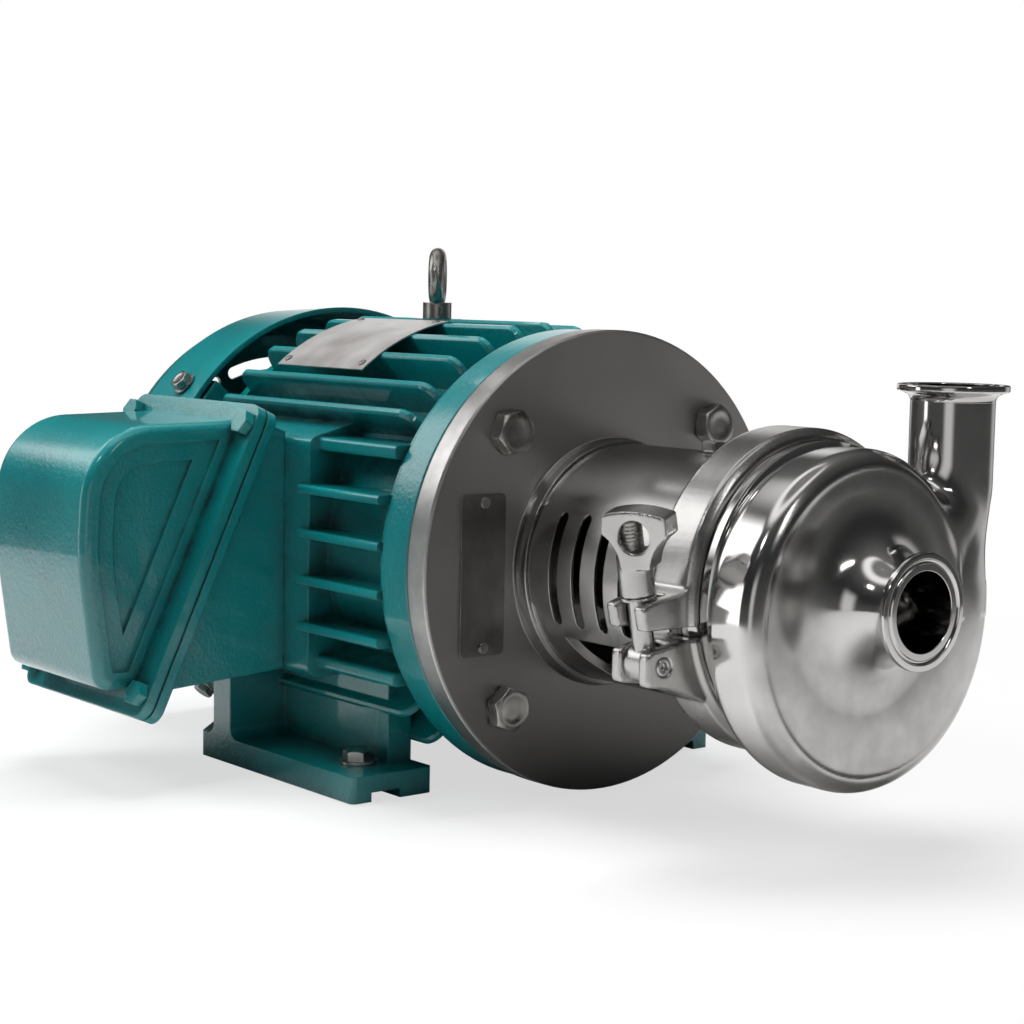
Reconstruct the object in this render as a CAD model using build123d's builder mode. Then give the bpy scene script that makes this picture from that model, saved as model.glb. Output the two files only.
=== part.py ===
# Sanitary centrifugal pump: a stainless pump end close-coupled to a C-face motor.
# Millimetres. +X runs along the shaft towards the suction port, +Z is up and +Y is
# the discharge side. The origin is the centre of the foot bolts, under the feet.
import math
import os

from build123d import *

os.makedirs("parts", exist_ok=True)

# Fits and gaps between pieces
slip = 0.05            # radial gap of a shaft or pin that turns in its hole
rest_gap = 0.3         # gap between pieces that move past each other
snug = 0.02            # radial gap of a piece that is fixed in its seat

# Motor: foot pattern, shaft height and C-face of its standard frame size
foot_spacing_x = 114.3
foot_spacing_y = 190.5
foot_hole_r = 5.2
shaft_height = 114.3
bolt_circle_r = 92.075
register_r = 107.95
register_depth = 6.0
motor_shaft_r = 14.28
shaft_extension = 66.7

# Motor frame casting
barrel_r = 97.0
barrel_wall = 9.0
barrel_back = -92.0
bracket_back = 99.0
bracket_r = 112.0
c_face_x = 118.5
fin_tip_r = 115.0
fin_thickness = 4.6
fin_back = -84.5
fin_front = 84.5
top_fin_angles = (0, 10.5, 21, 31.5, 42, 51)
low_fin_angles = (120, 131, 142)
side_fin_heights = (-36.0, -13.0, 10.0, 32.0)
side_fin_reach = 113.0
ledge_height = 54.0
foot_height = 13.0
foot_inner_y = 70.0
foot_outer_y = 117.5
foot_back = -70.5
foot_front = 84.5
foot_relief = 4.5
foot_pad_r = 11.5
web_thickness = 14.0
buttress_back = -41.5
buttress_front = -25.5
buttress_flare = 6.0
buttress_depth = 45.0
pad_back = -92.0
pad_front = 32.0
pad_face_y = 108.5
pad_bottom = -62.0
pad_top = 57.0
lead_hole_r = 20.0

# Rear end: bracket, cooling fan and cowl
rear_bracket_back = -104.0
cowl_front = -97.0
cowl_back = -166.0
cowl_front_r = 119.5
cowl_back_r = 117.0
cowl_wall = 2.8
cowl_flat = 2.0
cowl_screw_x = -116.0
cowl_screw_angles = (50, 140, 220, 310)
fan_inset = 9.0        # fan tip inside the barrel's radius
lug_inset = 6.0        # root of the cowl lugs inside the barrel's radius
fan_back = -146.0
fan_front = -116.0

# Bearings and electrical core
bearing_width = 16.0
bearing_bore_r = 15.0
bearing_outer_r = 31.0
bearing_ring = 5.0
ball_count = 9
front_bearing_x = 84.0
rear_bearing_x = -98.0
core_back = -60.0
core_front = 44.0
core_depth = 33.0      # stator core from the frame's bore down to its own
air_gap = 0.5
end_turn_length = 22.0
key_width = 6.35
key_length = 45.0

# Terminal box, leaning out from the pad
box_x = -43.0
box_width = 121.0
lid_lean = 24.6
lid_height = 163.0
lid_mid_y = -150.0
lid_mid_z = 108.3
lid_flange = 5.2
box_gasket = 1.0
box_wall = 4.5
box_inset = 7.0
dome_inset = 13.2
dome_depth_y = 217.0
panel_step = 2.2
panel_inset = 9.0
mouth_margin_x = 13.0
mouth_margin_y = 21.0
lid_bolt_edge_x = 6.5
lid_bolt_edge_y = 11.0
conduit_r = 13.3
conduit_wall = 4.0
conduit_drop = 5.0
block_width = 70.0
block_depth = 14.0

# Lifting eye and plates
eye_x = -9.5
eye_ring_r = 11.5
eye_wire_r = 4.2
eye_turn = -41.0
plate_thickness = 0.8
nameplate_back = -52.0
nameplate_front = 25.0
nameplate_angles = (9.0, 39.0)

# Pump adapter: flange, neck and window guard
face_x = 132.45
flange_r = 112.5
flange_skin = 1.2
neck_r = 57.0
neck_wall = 5.0
window_back = 22.0
window_front = 96.0
window_top = 40.0
window_bottom = -52.5
guard_thickness = 1.3
guard_back = 9.0
guard_front = 103.0
guard_low_angle = 30.0
guard_tab = 7.0
guard_tab_top = 31.0
guard_tab_bottom = 15.0
slot_width = 6.0
slot_pitch = 15.9
slot_count = 4
slot_start = 26.2
slot_half_angle = 26.5

# Clamp ring and the joint it closes, from the flange face forwards
clamp_back = 108.5
clamp_front = 129.6
clamp_nose = 2.9
clamp_r = 73.0
joint_x = 117.5
rim_r = 66.5
rim_flat = 3.5
rim_slope = 3.3
backplate_rim = 3.0
casing_neck_r = 62.0
casing_bore_r = 58.6
ear_width = 23.0
ear_slot = 11.0
swing_pin_y = -84.5
swing_pin_z = -25.0
swing_pin_r = 4.0
swing_eye_r = 8.0
swing_lean = 10.0
seat_distance = 30.0
bolt_r = 4.75
bolt_length = 63.0
hinge_pin_y = 82.0
hinge_pin_r = 3.2
knuckle_r = 7.0
knuckle_half_width = 8.5
split_height = -12.0
split_gap = 5.5

# Wing nut
nut_shank_r = 7.5
nut_height = 38.0
nut_span = 29.5
nut_thickness = 14.0
nut_turn = 25.0
washer_thickness = 1.2

# Casing and its ports: standard 38.1 mm tube with clamp ferrules
tube_r = 19.05
tube_wall = 1.65
ferrule_r = 25.25
ferrule_rim = 2.9
casing_wall = 2.6
casing_ring_r = 68.0
volute_back = 139.0
volute_front = 168.0
port_x = 148.0
suction_face = 197.7
discharge_y = 73.5
discharge_height = 91.75
scroll_top = 66.0
scroll_left = 72.0
scroll_bottom = 84.0
scroll_shift = 6.0
saddle_r = 11.0
tube_joint = 65.0      # height over the shaft where the discharge tube is welded on
outlet_low = -30.0     # height where the outlet starts to widen out of the scroll
outlet_full = 52.0     # height where it is as wide as the tube
outlet_start_r = 9.0
front_wall = 5.5
# Front of the volute: flat inside, and rolled back towards the discharge side
roll_y = -10.0
roll_z = -14.4
roll_flat_r = 62.0
roll_edge_r = 102.5
ridge_r = 7.0

# Rotating parts of the pump
stub_r = 12.7
stub_end_r = 9.0
sleeve_r = 24.0
impeller_r = 54.0
impeller_back = 141.0
impeller_disc = 3.0
blade_height = 16.0
blade_thickness = 4.0
blade_count = 4
hub_r = 15.0
hub_height = 6.0
nut_r = 12.5
nut_length = 12.0
thread_r = 6.0
seal_seat_r = 20.0
seal_bore_r = 14.5

# Places that follow from the sizes above
shaft_axis = Axis((0, 0, shaft_height), (1, 0, 0))
shaft_end = c_face_x + shaft_extension
barrel_bore_r = barrel_r - barrel_wall
stator_bore_r = barrel_bore_r - core_depth
fan_r = barrel_r - fan_inset
tube_bore_r = tube_r - tube_wall
clamp_mid = face_x + (clamp_back + clamp_front) / 2
joint_face = face_x + joint_x
casing_rim_back = joint_face + backplate_rim + rest_gap
pin_height = shaft_height + swing_pin_z
lean = math.radians(swing_lean)
# Along the swing bolt, from the centre of its pin
bolt_plane = Plane(
    origin=(clamp_mid, swing_pin_y, pin_height),
    x_dir=(1, 0, 0),
    z_dir=(0, -math.sin(lean), math.cos(lean)),
)
tilt = math.radians(lid_lean)
# On the back of the terminal box flange: x along the motor, y up the slope, z outwards
lid_plane = Plane(
    origin=(box_x, lid_mid_y, lid_mid_z),
    x_dir=(1, 0, 0),
    z_dir=(0, -math.cos(tilt), math.sin(tilt)),
)


def disc(back, front, radius, mode=Mode.ADD):
    """A disc on the shaft axis."""
    with BuildSketch(Plane.YZ.offset(back)) as section:
        with Locations((0, shaft_height)):
            Circle(radius)
    extrude(section.sketch, amount=front - back, mode=mode)


def turned(points, mode=Mode.ADD):
    """A solid turned about the shaft from its (x, radius) outline."""
    with BuildSketch(Plane.XZ) as section:
        with BuildLine():
            Polyline([(x, shaft_height + r) for x, r in points], close=True)
        make_face()
    revolve(section.sketch, axis=shaft_axis, mode=mode)


def at_angle(angle, radius):
    """A point around the shaft, with the angle counted from the top towards -Y."""
    turn = math.radians(angle)
    return (-radius * math.sin(turn), shaft_height + radius * math.cos(turn))


def turn_about_shaft(shape, angle):
    return shape.rotate(shaft_axis, angle)


def save(piece, name):
    piece.part.label = name
    export_step(piece.part, f"parts/{name}.step")


# Motor frame: finned barrel with feet, box pad and a boss for the lifting eye
with BuildPart() as radial_fin:
    with BuildSketch(Plane.XZ) as fin_side:
        with BuildLine():
            Polyline(
                (fin_back, shaft_height + barrel_r - 4),
                (fin_back, shaft_height + fin_tip_r),
                (fin_front, shaft_height + fin_tip_r),
                (fin_front + 8, shaft_height + barrel_r - 4),
                close=True,
            )
        make_face()
        fillet(fin_side.vertices().group_by(Axis.Y)[-1], radius=9)
    extrude(amount=fin_thickness / 2, both=True)
    fin_rim = radial_fin.edges().filter_by(
        lambda edge: edge.center().Z > shaft_height + barrel_r and abs(edge.center().Y) > 1
    )
    chamfer(fin_rim, length=1.2)

with BuildPart() as motor_frame:
    disc(barrel_back, bracket_back, barrel_r)
    # front rim that the fins run into
    turned([
        (bracket_back - 15, barrel_r - 1),
        (bracket_back - 4, bracket_r - 2),
        (bracket_back, bracket_r - 2),
        (bracket_back, barrel_r - 1),
    ])
    # rear rim
    disc(barrel_back, barrel_back + 6, barrel_r + 4)
    fin_angles = [side * angle for angle in top_fin_angles[1:] for side in (1, -1)]
    fin_angles += [side * angle for angle in low_fin_angles for side in (1, -1)]
    add(radial_fin.part)
    for angle in fin_angles:
        add(turn_about_shaft(radial_fin.part, angle))
    # level fins on both sides, and the ledges that close them above and below
    for side in (1, -1):
        fin_start = pad_front - 4 if side < 0 else fin_back
        for height in side_fin_heights:
            with BuildSketch(Plane.YZ.offset(fin_start)) as fin_end:
                with Locations((side * (side_fin_reach / 2 + 40), shaft_height + height)):
                    RectangleRounded(side_fin_reach - 80, fin_thickness, fin_thickness * 0.4)
            extrude(fin_end.sketch, amount=bracket_back - 3 - fin_start)
        for height in (ledge_height, -ledge_height):
            with BuildSketch(Plane.YZ.offset(fin_back)) as ledge_end:
                with Locations((side * 88, shaft_height + height)):
                    RectangleRounded(30, fin_thickness + 2, fin_thickness * 0.4)
            extrude(ledge_end.sketch, amount=bracket_back - 3 - fin_back)
    # pad for the terminal box
    with BuildSketch(Plane.YZ.offset(pad_back)) as pad_end:
        with BuildLine():
            Polyline(
                (-60, shaft_height + pad_bottom),
                (-pad_face_y, shaft_height + pad_bottom),
                (-pad_face_y, shaft_height + pad_top),
                (-60, shaft_height + pad_top + 12),
                close=True,
            )
        make_face()
        fillet(pad_end.vertices().group_by(Axis.X)[0], radius=6)
    extrude(pad_end.sketch, amount=pad_front - pad_back)
    # feet with their webs
    for side in (1, -1):
        with BuildSketch() as foot_plan:
            with BuildLine():
                Polyline(
                    (foot_back + 18, side * foot_outer_y),
                    (foot_front, side * foot_outer_y),
                    (foot_front, side * foot_inner_y),
                    (foot_back, side * foot_inner_y),
                    (foot_back, side * (foot_outer_y - 18)),
                    close=True,
                )
            make_face()
            fillet(foot_plan.vertices(), radius=3)
        extrude(foot_plan.sketch, amount=foot_height)
        with Locations((0, side * (foot_inner_y + web_thickness / 2), foot_height - 1)):
            Box(
                foot_front - foot_back - 22,
                web_thickness,
                50,
                align=(Align.CENTER, Align.CENTER, Align.MIN),
            )
        with BuildSketch(Plane.XZ.offset(-side * foot_outer_y)) as buttress:
            buttress_top = shaft_height + pad_bottom + 0.5
            with BuildLine():
                Polyline(
                    (buttress_back - 1.5 * buttress_flare, foot_height - 1),
                    (buttress_front + 1.5 * buttress_flare, foot_height - 1),
                    (buttress_front + 1.5 * buttress_flare, foot_height),
                    (buttress_front, foot_height),
                    (buttress_front, buttress_top),
                    (buttress_back, buttress_top),
                    (buttress_back, foot_height),
                    (buttress_back - 1.5 * buttress_flare, foot_height),
                    close=True,
                )
            make_face()
            for corner_x in (buttress_back, buttress_front):
                corner = buttress.vertices().sort_by_distance((corner_x, foot_height))[0]
                fillet(corner, radius=buttress_flare)
        extrude(buttress.sketch, amount=side * buttress_depth)
        # relief under the foot
        with Locations((0, side * (foot_inner_y + foot_outer_y + 8) / 2, 0)):
            Box(
                foot_front * 3,
                17,
                foot_relief,
                align=(Align.CENTER, Align.CENTER, Align.MIN),
                mode=Mode.SUBTRACT,
            )
    # round pads under the foot bolts
    with BuildSketch() as foot_pads:
        with GridLocations(foot_spacing_x, foot_spacing_y, 2, 2):
            Circle(foot_pad_r)
    extrude(foot_pads.sketch, amount=foot_relief + 1)
    # boss for the lifting eye
    with BuildSketch(Plane.XY.offset(shaft_height + barrel_r - 6)) as eye_boss:
        with Locations((eye_x, 0)):
            Circle(13)
    extrude(eye_boss.sketch, amount=fin_tip_r + 6 - barrel_r)
    disc(barrel_back - 1, bracket_back + 1, barrel_bore_r, mode=Mode.SUBTRACT)
    with BuildSketch() as foot_holes:
        with GridLocations(foot_spacing_x, foot_spacing_y, 2, 2):
            Circle(foot_hole_r)
    extrude(foot_holes.sketch, amount=foot_height + 1, mode=Mode.SUBTRACT)
    # flat seats for the heads of the foot bolts
    with BuildSketch(Plane.XY.offset(foot_height)) as bolt_seats:
        with GridLocations(foot_spacing_x, foot_spacing_y, 2, 2):
            Circle(foot_pad_r)
    extrude(bolt_seats.sketch, amount=26, mode=Mode.SUBTRACT)
    # tapped hole for the lifting eye and the passage for the motor leads
    with BuildSketch(Plane.XY.offset(shaft_height + fin_tip_r)) as eye_hole:
        with Locations((eye_x, 0)):
            Circle(5)
    extrude(eye_hole.sketch, amount=-16, mode=Mode.SUBTRACT)
    with BuildSketch(Plane.XZ.offset(pad_face_y + 1)) as lead_hole:
        with Locations((box_x, shaft_height)):
            Circle(lead_hole_r)
    extrude(lead_hole.sketch, amount=barrel_bore_r - pad_face_y - 2, mode=Mode.SUBTRACT)
save(motor_frame, "motor_frame")

# Drive end bracket: C-face flange with its register and the front bearing seat
with BuildPart() as drive_end_bracket:
    turned([
        (bracket_back - 8, barrel_bore_r - 8),
        (bracket_back - 8, barrel_bore_r - snug),
        (bracket_back, barrel_bore_r - snug),
        (bracket_back, bracket_r),
        (c_face_x - 1, bracket_r),
        (c_face_x, bracket_r - 1),
        (c_face_x, register_r),
        (c_face_x + register_depth, register_r),
        (c_face_x + register_depth, motor_shaft_r + 2.5),
        (front_bearing_x + bearing_width, motor_shaft_r + 2.5),
        (front_bearing_x + bearing_width, bearing_outer_r + snug),
        (front_bearing_x, bearing_outer_r + snug),
        (front_bearing_x, bearing_outer_r + 9),
        (c_face_x - 12, bearing_outer_r + 9),
        (c_face_x - 12, barrel_bore_r - 8),
    ])
    with BuildSketch(Plane.YZ.offset(c_face_x + register_depth)) as c_face_holes:
        with Locations((0, shaft_height)):
            with PolarLocations(bolt_circle_r, 4, start_angle=45):
                Circle(6.4)
    extrude(c_face_holes.sketch, amount=-16, mode=Mode.SUBTRACT)
save(drive_end_bracket, "drive_end_bracket")

# Rear end bracket with the rear bearing seat and lugs for the cowl screws
rear_lug_reach = cowl_back_r - cowl_wall + 0.6
lug_root = barrel_r - lug_inset
with BuildPart() as rear_end_bracket:
    turned([
        (barrel_back + 6, barrel_bore_r - 6),
        (barrel_back + 6, barrel_bore_r - snug),
        (barrel_back, barrel_bore_r - snug),
        (barrel_back, barrel_r),
        (rear_bracket_back, barrel_r - 4),
        (rear_bracket_back, motor_shaft_r + 1),
        (rear_bearing_x, motor_shaft_r + 1),
        (rear_bearing_x, bearing_outer_r + snug),
        (rear_bearing_x + bearing_width, bearing_outer_r + snug),
        (rear_bearing_x + bearing_width, bearing_outer_r + 9),
        (barrel_back - 4, bearing_outer_r + 9),
        (barrel_back - 4, barrel_bore_r - 6),
    ])
    for angle in cowl_screw_angles:
        with BuildSketch(Plane.YZ.offset(barrel_back - 4)) as lug_end:
            with Locations((0, shaft_height)):
                with PolarLocations(lug_root, 1, start_angle=angle + 90):
                    Rectangle(rear_lug_reach - lug_root, 14, align=(Align.MIN, Align.CENTER))
        extrude(lug_end.sketch, amount=cowl_screw_x - 8 - barrel_back + 4)
save(rear_end_bracket, "rear_end_bracket")

# Bearings at both ends of the motor: outer ring, inner ring and the balls in their grooves
ball_path_r = (bearing_bore_r + bearing_outer_r) / 2
ball_r = (bearing_outer_r - bearing_bore_r) / 2 - bearing_ring + 1.2


def ball_groove(back):
    """Groove for the balls, round the shaft and in the middle of a bearing."""
    with BuildSketch(Plane.XZ) as groove:
        with Locations((back + bearing_width / 2, shaft_height + ball_path_r)):
            Circle(ball_r + slip)
    revolve(groove.sketch, axis=shaft_axis, mode=Mode.SUBTRACT)


with BuildPart() as bearing_outer_rings:
    for back in (front_bearing_x, rear_bearing_x):
        disc(back, back + bearing_width, bearing_outer_r)
        disc(back, back + bearing_width, bearing_outer_r - bearing_ring, mode=Mode.SUBTRACT)
        ball_groove(back)
save(bearing_outer_rings, "bearing_outer_rings")

with BuildPart() as bearing_inner_rings:
    for back in (front_bearing_x, rear_bearing_x):
        disc(back, back + bearing_width, bearing_bore_r + bearing_ring)
        disc(back, back + bearing_width, bearing_bore_r, mode=Mode.SUBTRACT)
        ball_groove(back)
save(bearing_inner_rings, "bearing_inner_rings")

with BuildPart() as bearing_balls:
    for back in (front_bearing_x, rear_bearing_x):
        for index in range(ball_count):
            across, up = at_angle(index * 360 / ball_count, ball_path_r)
            with Locations((back + bearing_width / 2, across, up)):
                Sphere(ball_r)
save(bearing_balls, "bearing_balls")

# Stator core and its windings
with BuildPart() as stator_core:
    disc(core_back, core_front, barrel_bore_r - snug)
    disc(core_back, core_front, stator_bore_r, mode=Mode.SUBTRACT)
save(stator_core, "stator_core")

with BuildPart() as stator_windings:
    for start, length in ((core_back, -end_turn_length), (core_front, end_turn_length)):
        turned([
            (start, stator_bore_r + 5),
            (start + length * 0.8, stator_bore_r + 3),
            (start + length, stator_bore_r + 8),
            (start + length, barrel_bore_r - 12),
            (start + length * 0.8, barrel_bore_r - 7),
            (start, barrel_bore_r - 9),
        ])
save(stator_windings, "stator_windings")

# Rotor: shaft, core, key and the external cooling fan
with BuildPart() as motor_shaft:
    turned([
        (fan_back - 4, 0),
        (fan_back - 4, 11),
        (rear_bearing_x, 11),
        (rear_bearing_x, bearing_bore_r - snug),
        (rear_bearing_x + bearing_width, bearing_bore_r - snug),
        (rear_bearing_x + bearing_width, 18),
        (core_back, 18),
        (core_back, 20),
        (core_front, 20),
        (core_front, 18),
        (front_bearing_x, 18),
        (front_bearing_x, bearing_bore_r - snug),
        (front_bearing_x + bearing_width, bearing_bore_r - snug),
        (front_bearing_x + bearing_width, motor_shaft_r),
        (shaft_end - 1, motor_shaft_r),
        (shaft_end, motor_shaft_r - 1),
        (shaft_end, 0),
    ])
    # keyway
    key_low = shaft_height + motor_shaft_r - key_width / 2
    with Locations((shaft_end - key_length, 0, key_low)):
        Box(
            key_length,
            key_width,
            2 * key_width,
            align=(Align.MIN, Align.CENTER, Align.MIN),
            mode=Mode.SUBTRACT,
        )
save(motor_shaft, "motor_shaft")

with BuildPart() as shaft_key:
    with Locations((shaft_end - key_length + snug, 0, key_low + snug)):
        Box(
            key_length - 1,
            key_width - 2 * snug,
            key_width - 2 * snug,
            align=(Align.MIN, Align.CENTER, Align.MIN),
        )
save(shaft_key, "shaft_key")

with BuildPart() as rotor_core:
    disc(core_back, core_front, stator_bore_r - air_gap)
    for back, front in ((core_back - 8, core_back), (core_front, core_front + 8)):
        disc(back, front, stator_bore_r - 3)
        disc(back, front, stator_bore_r - 16, mode=Mode.SUBTRACT)
    disc(core_back - 9, core_front + 9, 20 + snug, mode=Mode.SUBTRACT)
save(rotor_core, "rotor_core")

with BuildPart() as cooling_fan:
    disc(fan_back, fan_front, 22)
    disc(fan_front - 3, fan_front, fan_r - 6)
    for index in range(8):
        blade = Box(
            fan_front - fan_back - 1,
            3,
            fan_r - 20,
            align=(Align.MAX, Align.CENTER, Align.MIN),
            mode=Mode.PRIVATE,
        )
        blade = blade.moved(Location((fan_front - 0.5, 0, shaft_height + 20)))
        add(turn_about_shaft(blade, index * 45))
    disc(fan_back - 1, fan_front + 1, 11 + snug, mode=Mode.SUBTRACT)
save(cooling_fan, "cooling_fan")

# Fan cowl with its inlet grille
grille_slot_width = 7.0
grille_bar = 13.0
grille_arcs = []
for ring_r, count in ((32, 6), (50, 8), (68, 10), (86, 12)):
    arc_size = 360 / count - math.degrees(grille_bar / ring_r)
    for index in range(count):
        grille_arcs.append(CenterArc((0, shaft_height), ring_r, index * 360 / count, arc_size))


def flat_underside(height):
    """Cuts the cowl flat below, so that it stays clear of the floor."""
    with Locations(((cowl_front + cowl_back) / 2, 0, height)):
        Box(
            2 * (cowl_front - cowl_back),
            2 * cowl_front_r,
            cowl_front_r,
            align=(Align.CENTER, Align.CENTER, Align.MAX),
            mode=Mode.SUBTRACT,
        )


with BuildPart() as cowl_hollow:
    turned([
        (cowl_back + cowl_wall, 0),
        (cowl_back + cowl_wall, cowl_back_r - 15),
        (cowl_back + 7, cowl_back_r - 4 - cowl_wall),
        (cowl_back + 18, cowl_back_r - cowl_wall),
        (cowl_front + 1, cowl_front_r - cowl_wall),
        (cowl_front + 1, 0),
    ])
    flat_underside(cowl_flat + cowl_wall)

with BuildPart() as fan_cowl:
    turned([
        (cowl_back, 0),
        (cowl_back, cowl_back_r - 14),
        (cowl_back + 6, cowl_back_r - 4),
        (cowl_back + 18, cowl_back_r),
        (cowl_front, cowl_front_r),
        (cowl_front, 0),
    ])
    flat_underside(cowl_flat)
    add(cowl_hollow.part, mode=Mode.SUBTRACT)
    with BuildSketch(Plane.YZ.offset(cowl_back - 1)) as grille:
        for grille_arc in grille_arcs:
            SlotArc(grille_arc, grille_slot_width)
    extrude(grille.sketch, amount=cowl_wall + 2, mode=Mode.SUBTRACT)
save(fan_cowl, "fan_cowl")

with BuildPart() as cowl_screws:
    for angle in cowl_screw_angles:
        across, up = at_angle(angle, rear_lug_reach + snug)
        screw_plane = Plane(
            origin=(cowl_screw_x, across, up),
            x_dir=(1, 0, 0),
            z_dir=(0, across, up - shaft_height),
        )
        with BuildSketch(screw_plane.offset(cowl_front_r - rear_lug_reach)) as screw_head:
            RegularPolygon(5.8, 6)
        extrude(screw_head.sketch, amount=5)
save(cowl_screws, "cowl_screws")

# Lifting eye
with BuildPart() as eye_bolt:
    eye_base = shaft_height + fin_tip_r
    with BuildSketch(Plane.XY.offset(eye_base)) as eye_collar:
        with Locations((eye_x, 0)):
            Circle(7.6)
    extrude(eye_collar.sketch, amount=8.5)
    with BuildSketch(Plane.XY.offset(eye_base)) as eye_shank:
        with Locations((eye_x, 0)):
            Circle(4.9)
    extrude(eye_shank.sketch, amount=-15)
    eye_plane = Plane(
        origin=(eye_x, 0, eye_base + 6 + eye_ring_r + eye_wire_r),
        x_dir=(math.cos(math.radians(eye_turn)), math.sin(math.radians(eye_turn)), 0),
        z_dir=(math.sin(math.radians(eye_turn)), -math.cos(math.radians(eye_turn)), 0),
    )
    add(eye_plane * Torus(eye_ring_r, eye_wire_r, mode=Mode.PRIVATE))
save(eye_bolt, "eye_bolt")

# Plates on the motor: rating plate bent over the fins, small plate beside the box
with BuildPart() as motor_nameplate:
    plate_sector = [at_angle(angle, radius) for radius, angle in (
        (fin_tip_r + snug, nameplate_angles[0]),
        (fin_tip_r + snug, sum(nameplate_angles) / 2),
        (fin_tip_r + snug, nameplate_angles[1]),
        (fin_tip_r + plate_thickness, nameplate_angles[1]),
        (fin_tip_r + plate_thickness, sum(nameplate_angles) / 2),
        (fin_tip_r + plate_thickness, nameplate_angles[0]),
    )]
    with BuildSketch(Plane.YZ.offset(nameplate_back)) as plate_end:
        with BuildLine():
            ThreePointArc(*plate_sector[:3])
            Line(plate_sector[2], plate_sector[3])
            ThreePointArc(*plate_sector[3:])
            Line(plate_sector[5], plate_sector[0])
        make_face()
    extrude(plate_end.sketch, amount=nameplate_front - nameplate_back)
save(motor_nameplate, "motor_nameplate")

with BuildPart() as nameplate_rivets:
    for back in (nameplate_back + 5, nameplate_front - 5):
        for angle in (nameplate_angles[0] + 2.5, nameplate_angles[1] - 2.5):
            across, up = at_angle(angle, fin_tip_r + plate_thickness)
            rivet_plane = Plane(
                origin=(back, across, up),
                x_dir=(1, 0, 0),
                z_dir=(0, across, up - shaft_height),
            )
            with BuildSketch(rivet_plane) as rivet:
                Circle(2.2)
            extrude(rivet.sketch, amount=1.1)
save(nameplate_rivets, "nameplate_rivets")

# Terminal box: base on the pad, gasket, domed cover and its four bolts
base_low = shaft_height + pad_bottom + 2
base_high = shaft_height + pad_top + 2
mouth_width = box_width - 2 * mouth_margin_x
mouth_height = lid_height - 2 * mouth_margin_y
lid_up_y = math.sin(tilt)
lid_up_z = math.cos(tilt)


def lid_point(along, outwards=0.0):
    """(y, z) of a point on the lid, measured up its slope and out from its back."""
    y = lid_mid_y + along * lid_up_y - outwards * lid_up_z
    z = lid_mid_z + along * lid_up_z + outwards * lid_up_y
    return (y, z)


with BuildPart() as terminal_box_base:
    base_outline = [
        (-pad_face_y - snug, base_high),
        (-pad_face_y - snug, base_low),
        lid_point(-lid_height / 2 + 17),
        lid_point(lid_height / 2 - 6),
    ]
    with BuildSketch(Plane.YZ.offset(box_x)) as base_side:
        with BuildLine():
            Polyline(base_outline, close=True)
        make_face()
    extrude(base_side.sketch, amount=box_width / 2 - box_inset, both=True)
    with BuildSketch(lid_plane) as base_flange:
        RectangleRounded(box_width, lid_height, 8)
    extrude(base_flange.sketch, amount=lid_flange)
    # cavity, open towards the cover
    with BuildSketch(Plane.YZ.offset(box_x)) as base_hollow:
        with BuildLine():
            Polyline(base_outline, close=True)
        make_face()
        offset(amount=-box_wall, kind=Kind.INTERSECTION, mode=Mode.REPLACE)
    extrude(
        base_hollow.sketch,
        amount=box_width / 2 - box_inset - box_wall,
        both=True,
        mode=Mode.SUBTRACT,
    )
    with BuildSketch(lid_plane.offset(-box_wall - 1)) as base_mouth:
        RectangleRounded(mouth_width, mouth_height, 6)
    extrude(base_mouth.sketch, amount=lid_flange + box_wall + 2, mode=Mode.SUBTRACT)
    # hub round the conduit hole, then the hole and the passage to the motor
    conduit_y = (lid_point(-lid_height / 2 + 17)[0] - pad_face_y) / 2
    conduit_mouth = base_low - conduit_drop
    conduit_length = conduit_drop + 12
    with BuildSketch(Plane.XY.offset(conduit_mouth)) as conduit_hub:
        with Locations((box_x, conduit_y)):
            Circle(conduit_r + conduit_wall)
    extrude(conduit_hub.sketch, amount=conduit_length)
    with BuildSketch(Plane.XY.offset(conduit_mouth - 1)) as conduit_hole:
        with Locations((box_x, conduit_y)):
            Circle(conduit_r)
    extrude(conduit_hole.sketch, amount=conduit_length + 2, mode=Mode.SUBTRACT)
    with BuildSketch(Plane.XZ.offset(pad_face_y - 1)) as lead_passage:
        with Locations((box_x, shaft_height)):
            Circle(lead_hole_r)
    extrude(lead_passage.sketch, amount=box_wall + 3, mode=Mode.SUBTRACT)
save(terminal_box_base, "terminal_box_base")

with BuildPart() as terminal_box_gasket:
    with BuildSketch(lid_plane.offset(lid_flange)) as gasket_shape:
        RectangleRounded(box_width - 2, lid_height - 2, 7)
        RectangleRounded(mouth_width, mouth_height, 6, mode=Mode.SUBTRACT)
    extrude(gasket_shape.sketch, amount=box_gasket)
save(terminal_box_gasket, "terminal_box_gasket")

cover_back = lid_flange + box_gasket
cover_face = cover_back + lid_flange
dome_width = box_width - 2 * dome_inset
dome_back = box_x - dome_width / 2
dome_side_wall = box_wall + 2 * panel_step


def dome_side(start, inset):
    """Side view of the cover's dome in the plane at x = start, drawn in by the inset."""
    with BuildSketch(Plane.YZ.offset(start)) as side:
        with BuildLine():
            Polyline(
                lid_point(-lid_height / 2 + dome_inset, cover_face - 2),
                (-dome_depth_y + 8, base_low - 3),
                (-dome_depth_y - 1, shaft_height + 2),
                (-dome_depth_y + 3, base_high + 4),
                lid_point(lid_height / 2 - 8, cover_face - 2),
                close=True,
            )
        make_face()
        fillet(side.vertices().group_by(Axis.X)[0], radius=150)
        fillet(side.vertices().sort_by_distance((-dome_depth_y + 3, base_high + 4))[0], radius=38)
        fillet(side.vertices().sort_by_distance((-dome_depth_y + 8, base_low - 3))[0], radius=9)
        if inset:
            offset(amount=-inset, kind=Kind.INTERSECTION, mode=Mode.REPLACE)
    return side.sketch


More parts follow.
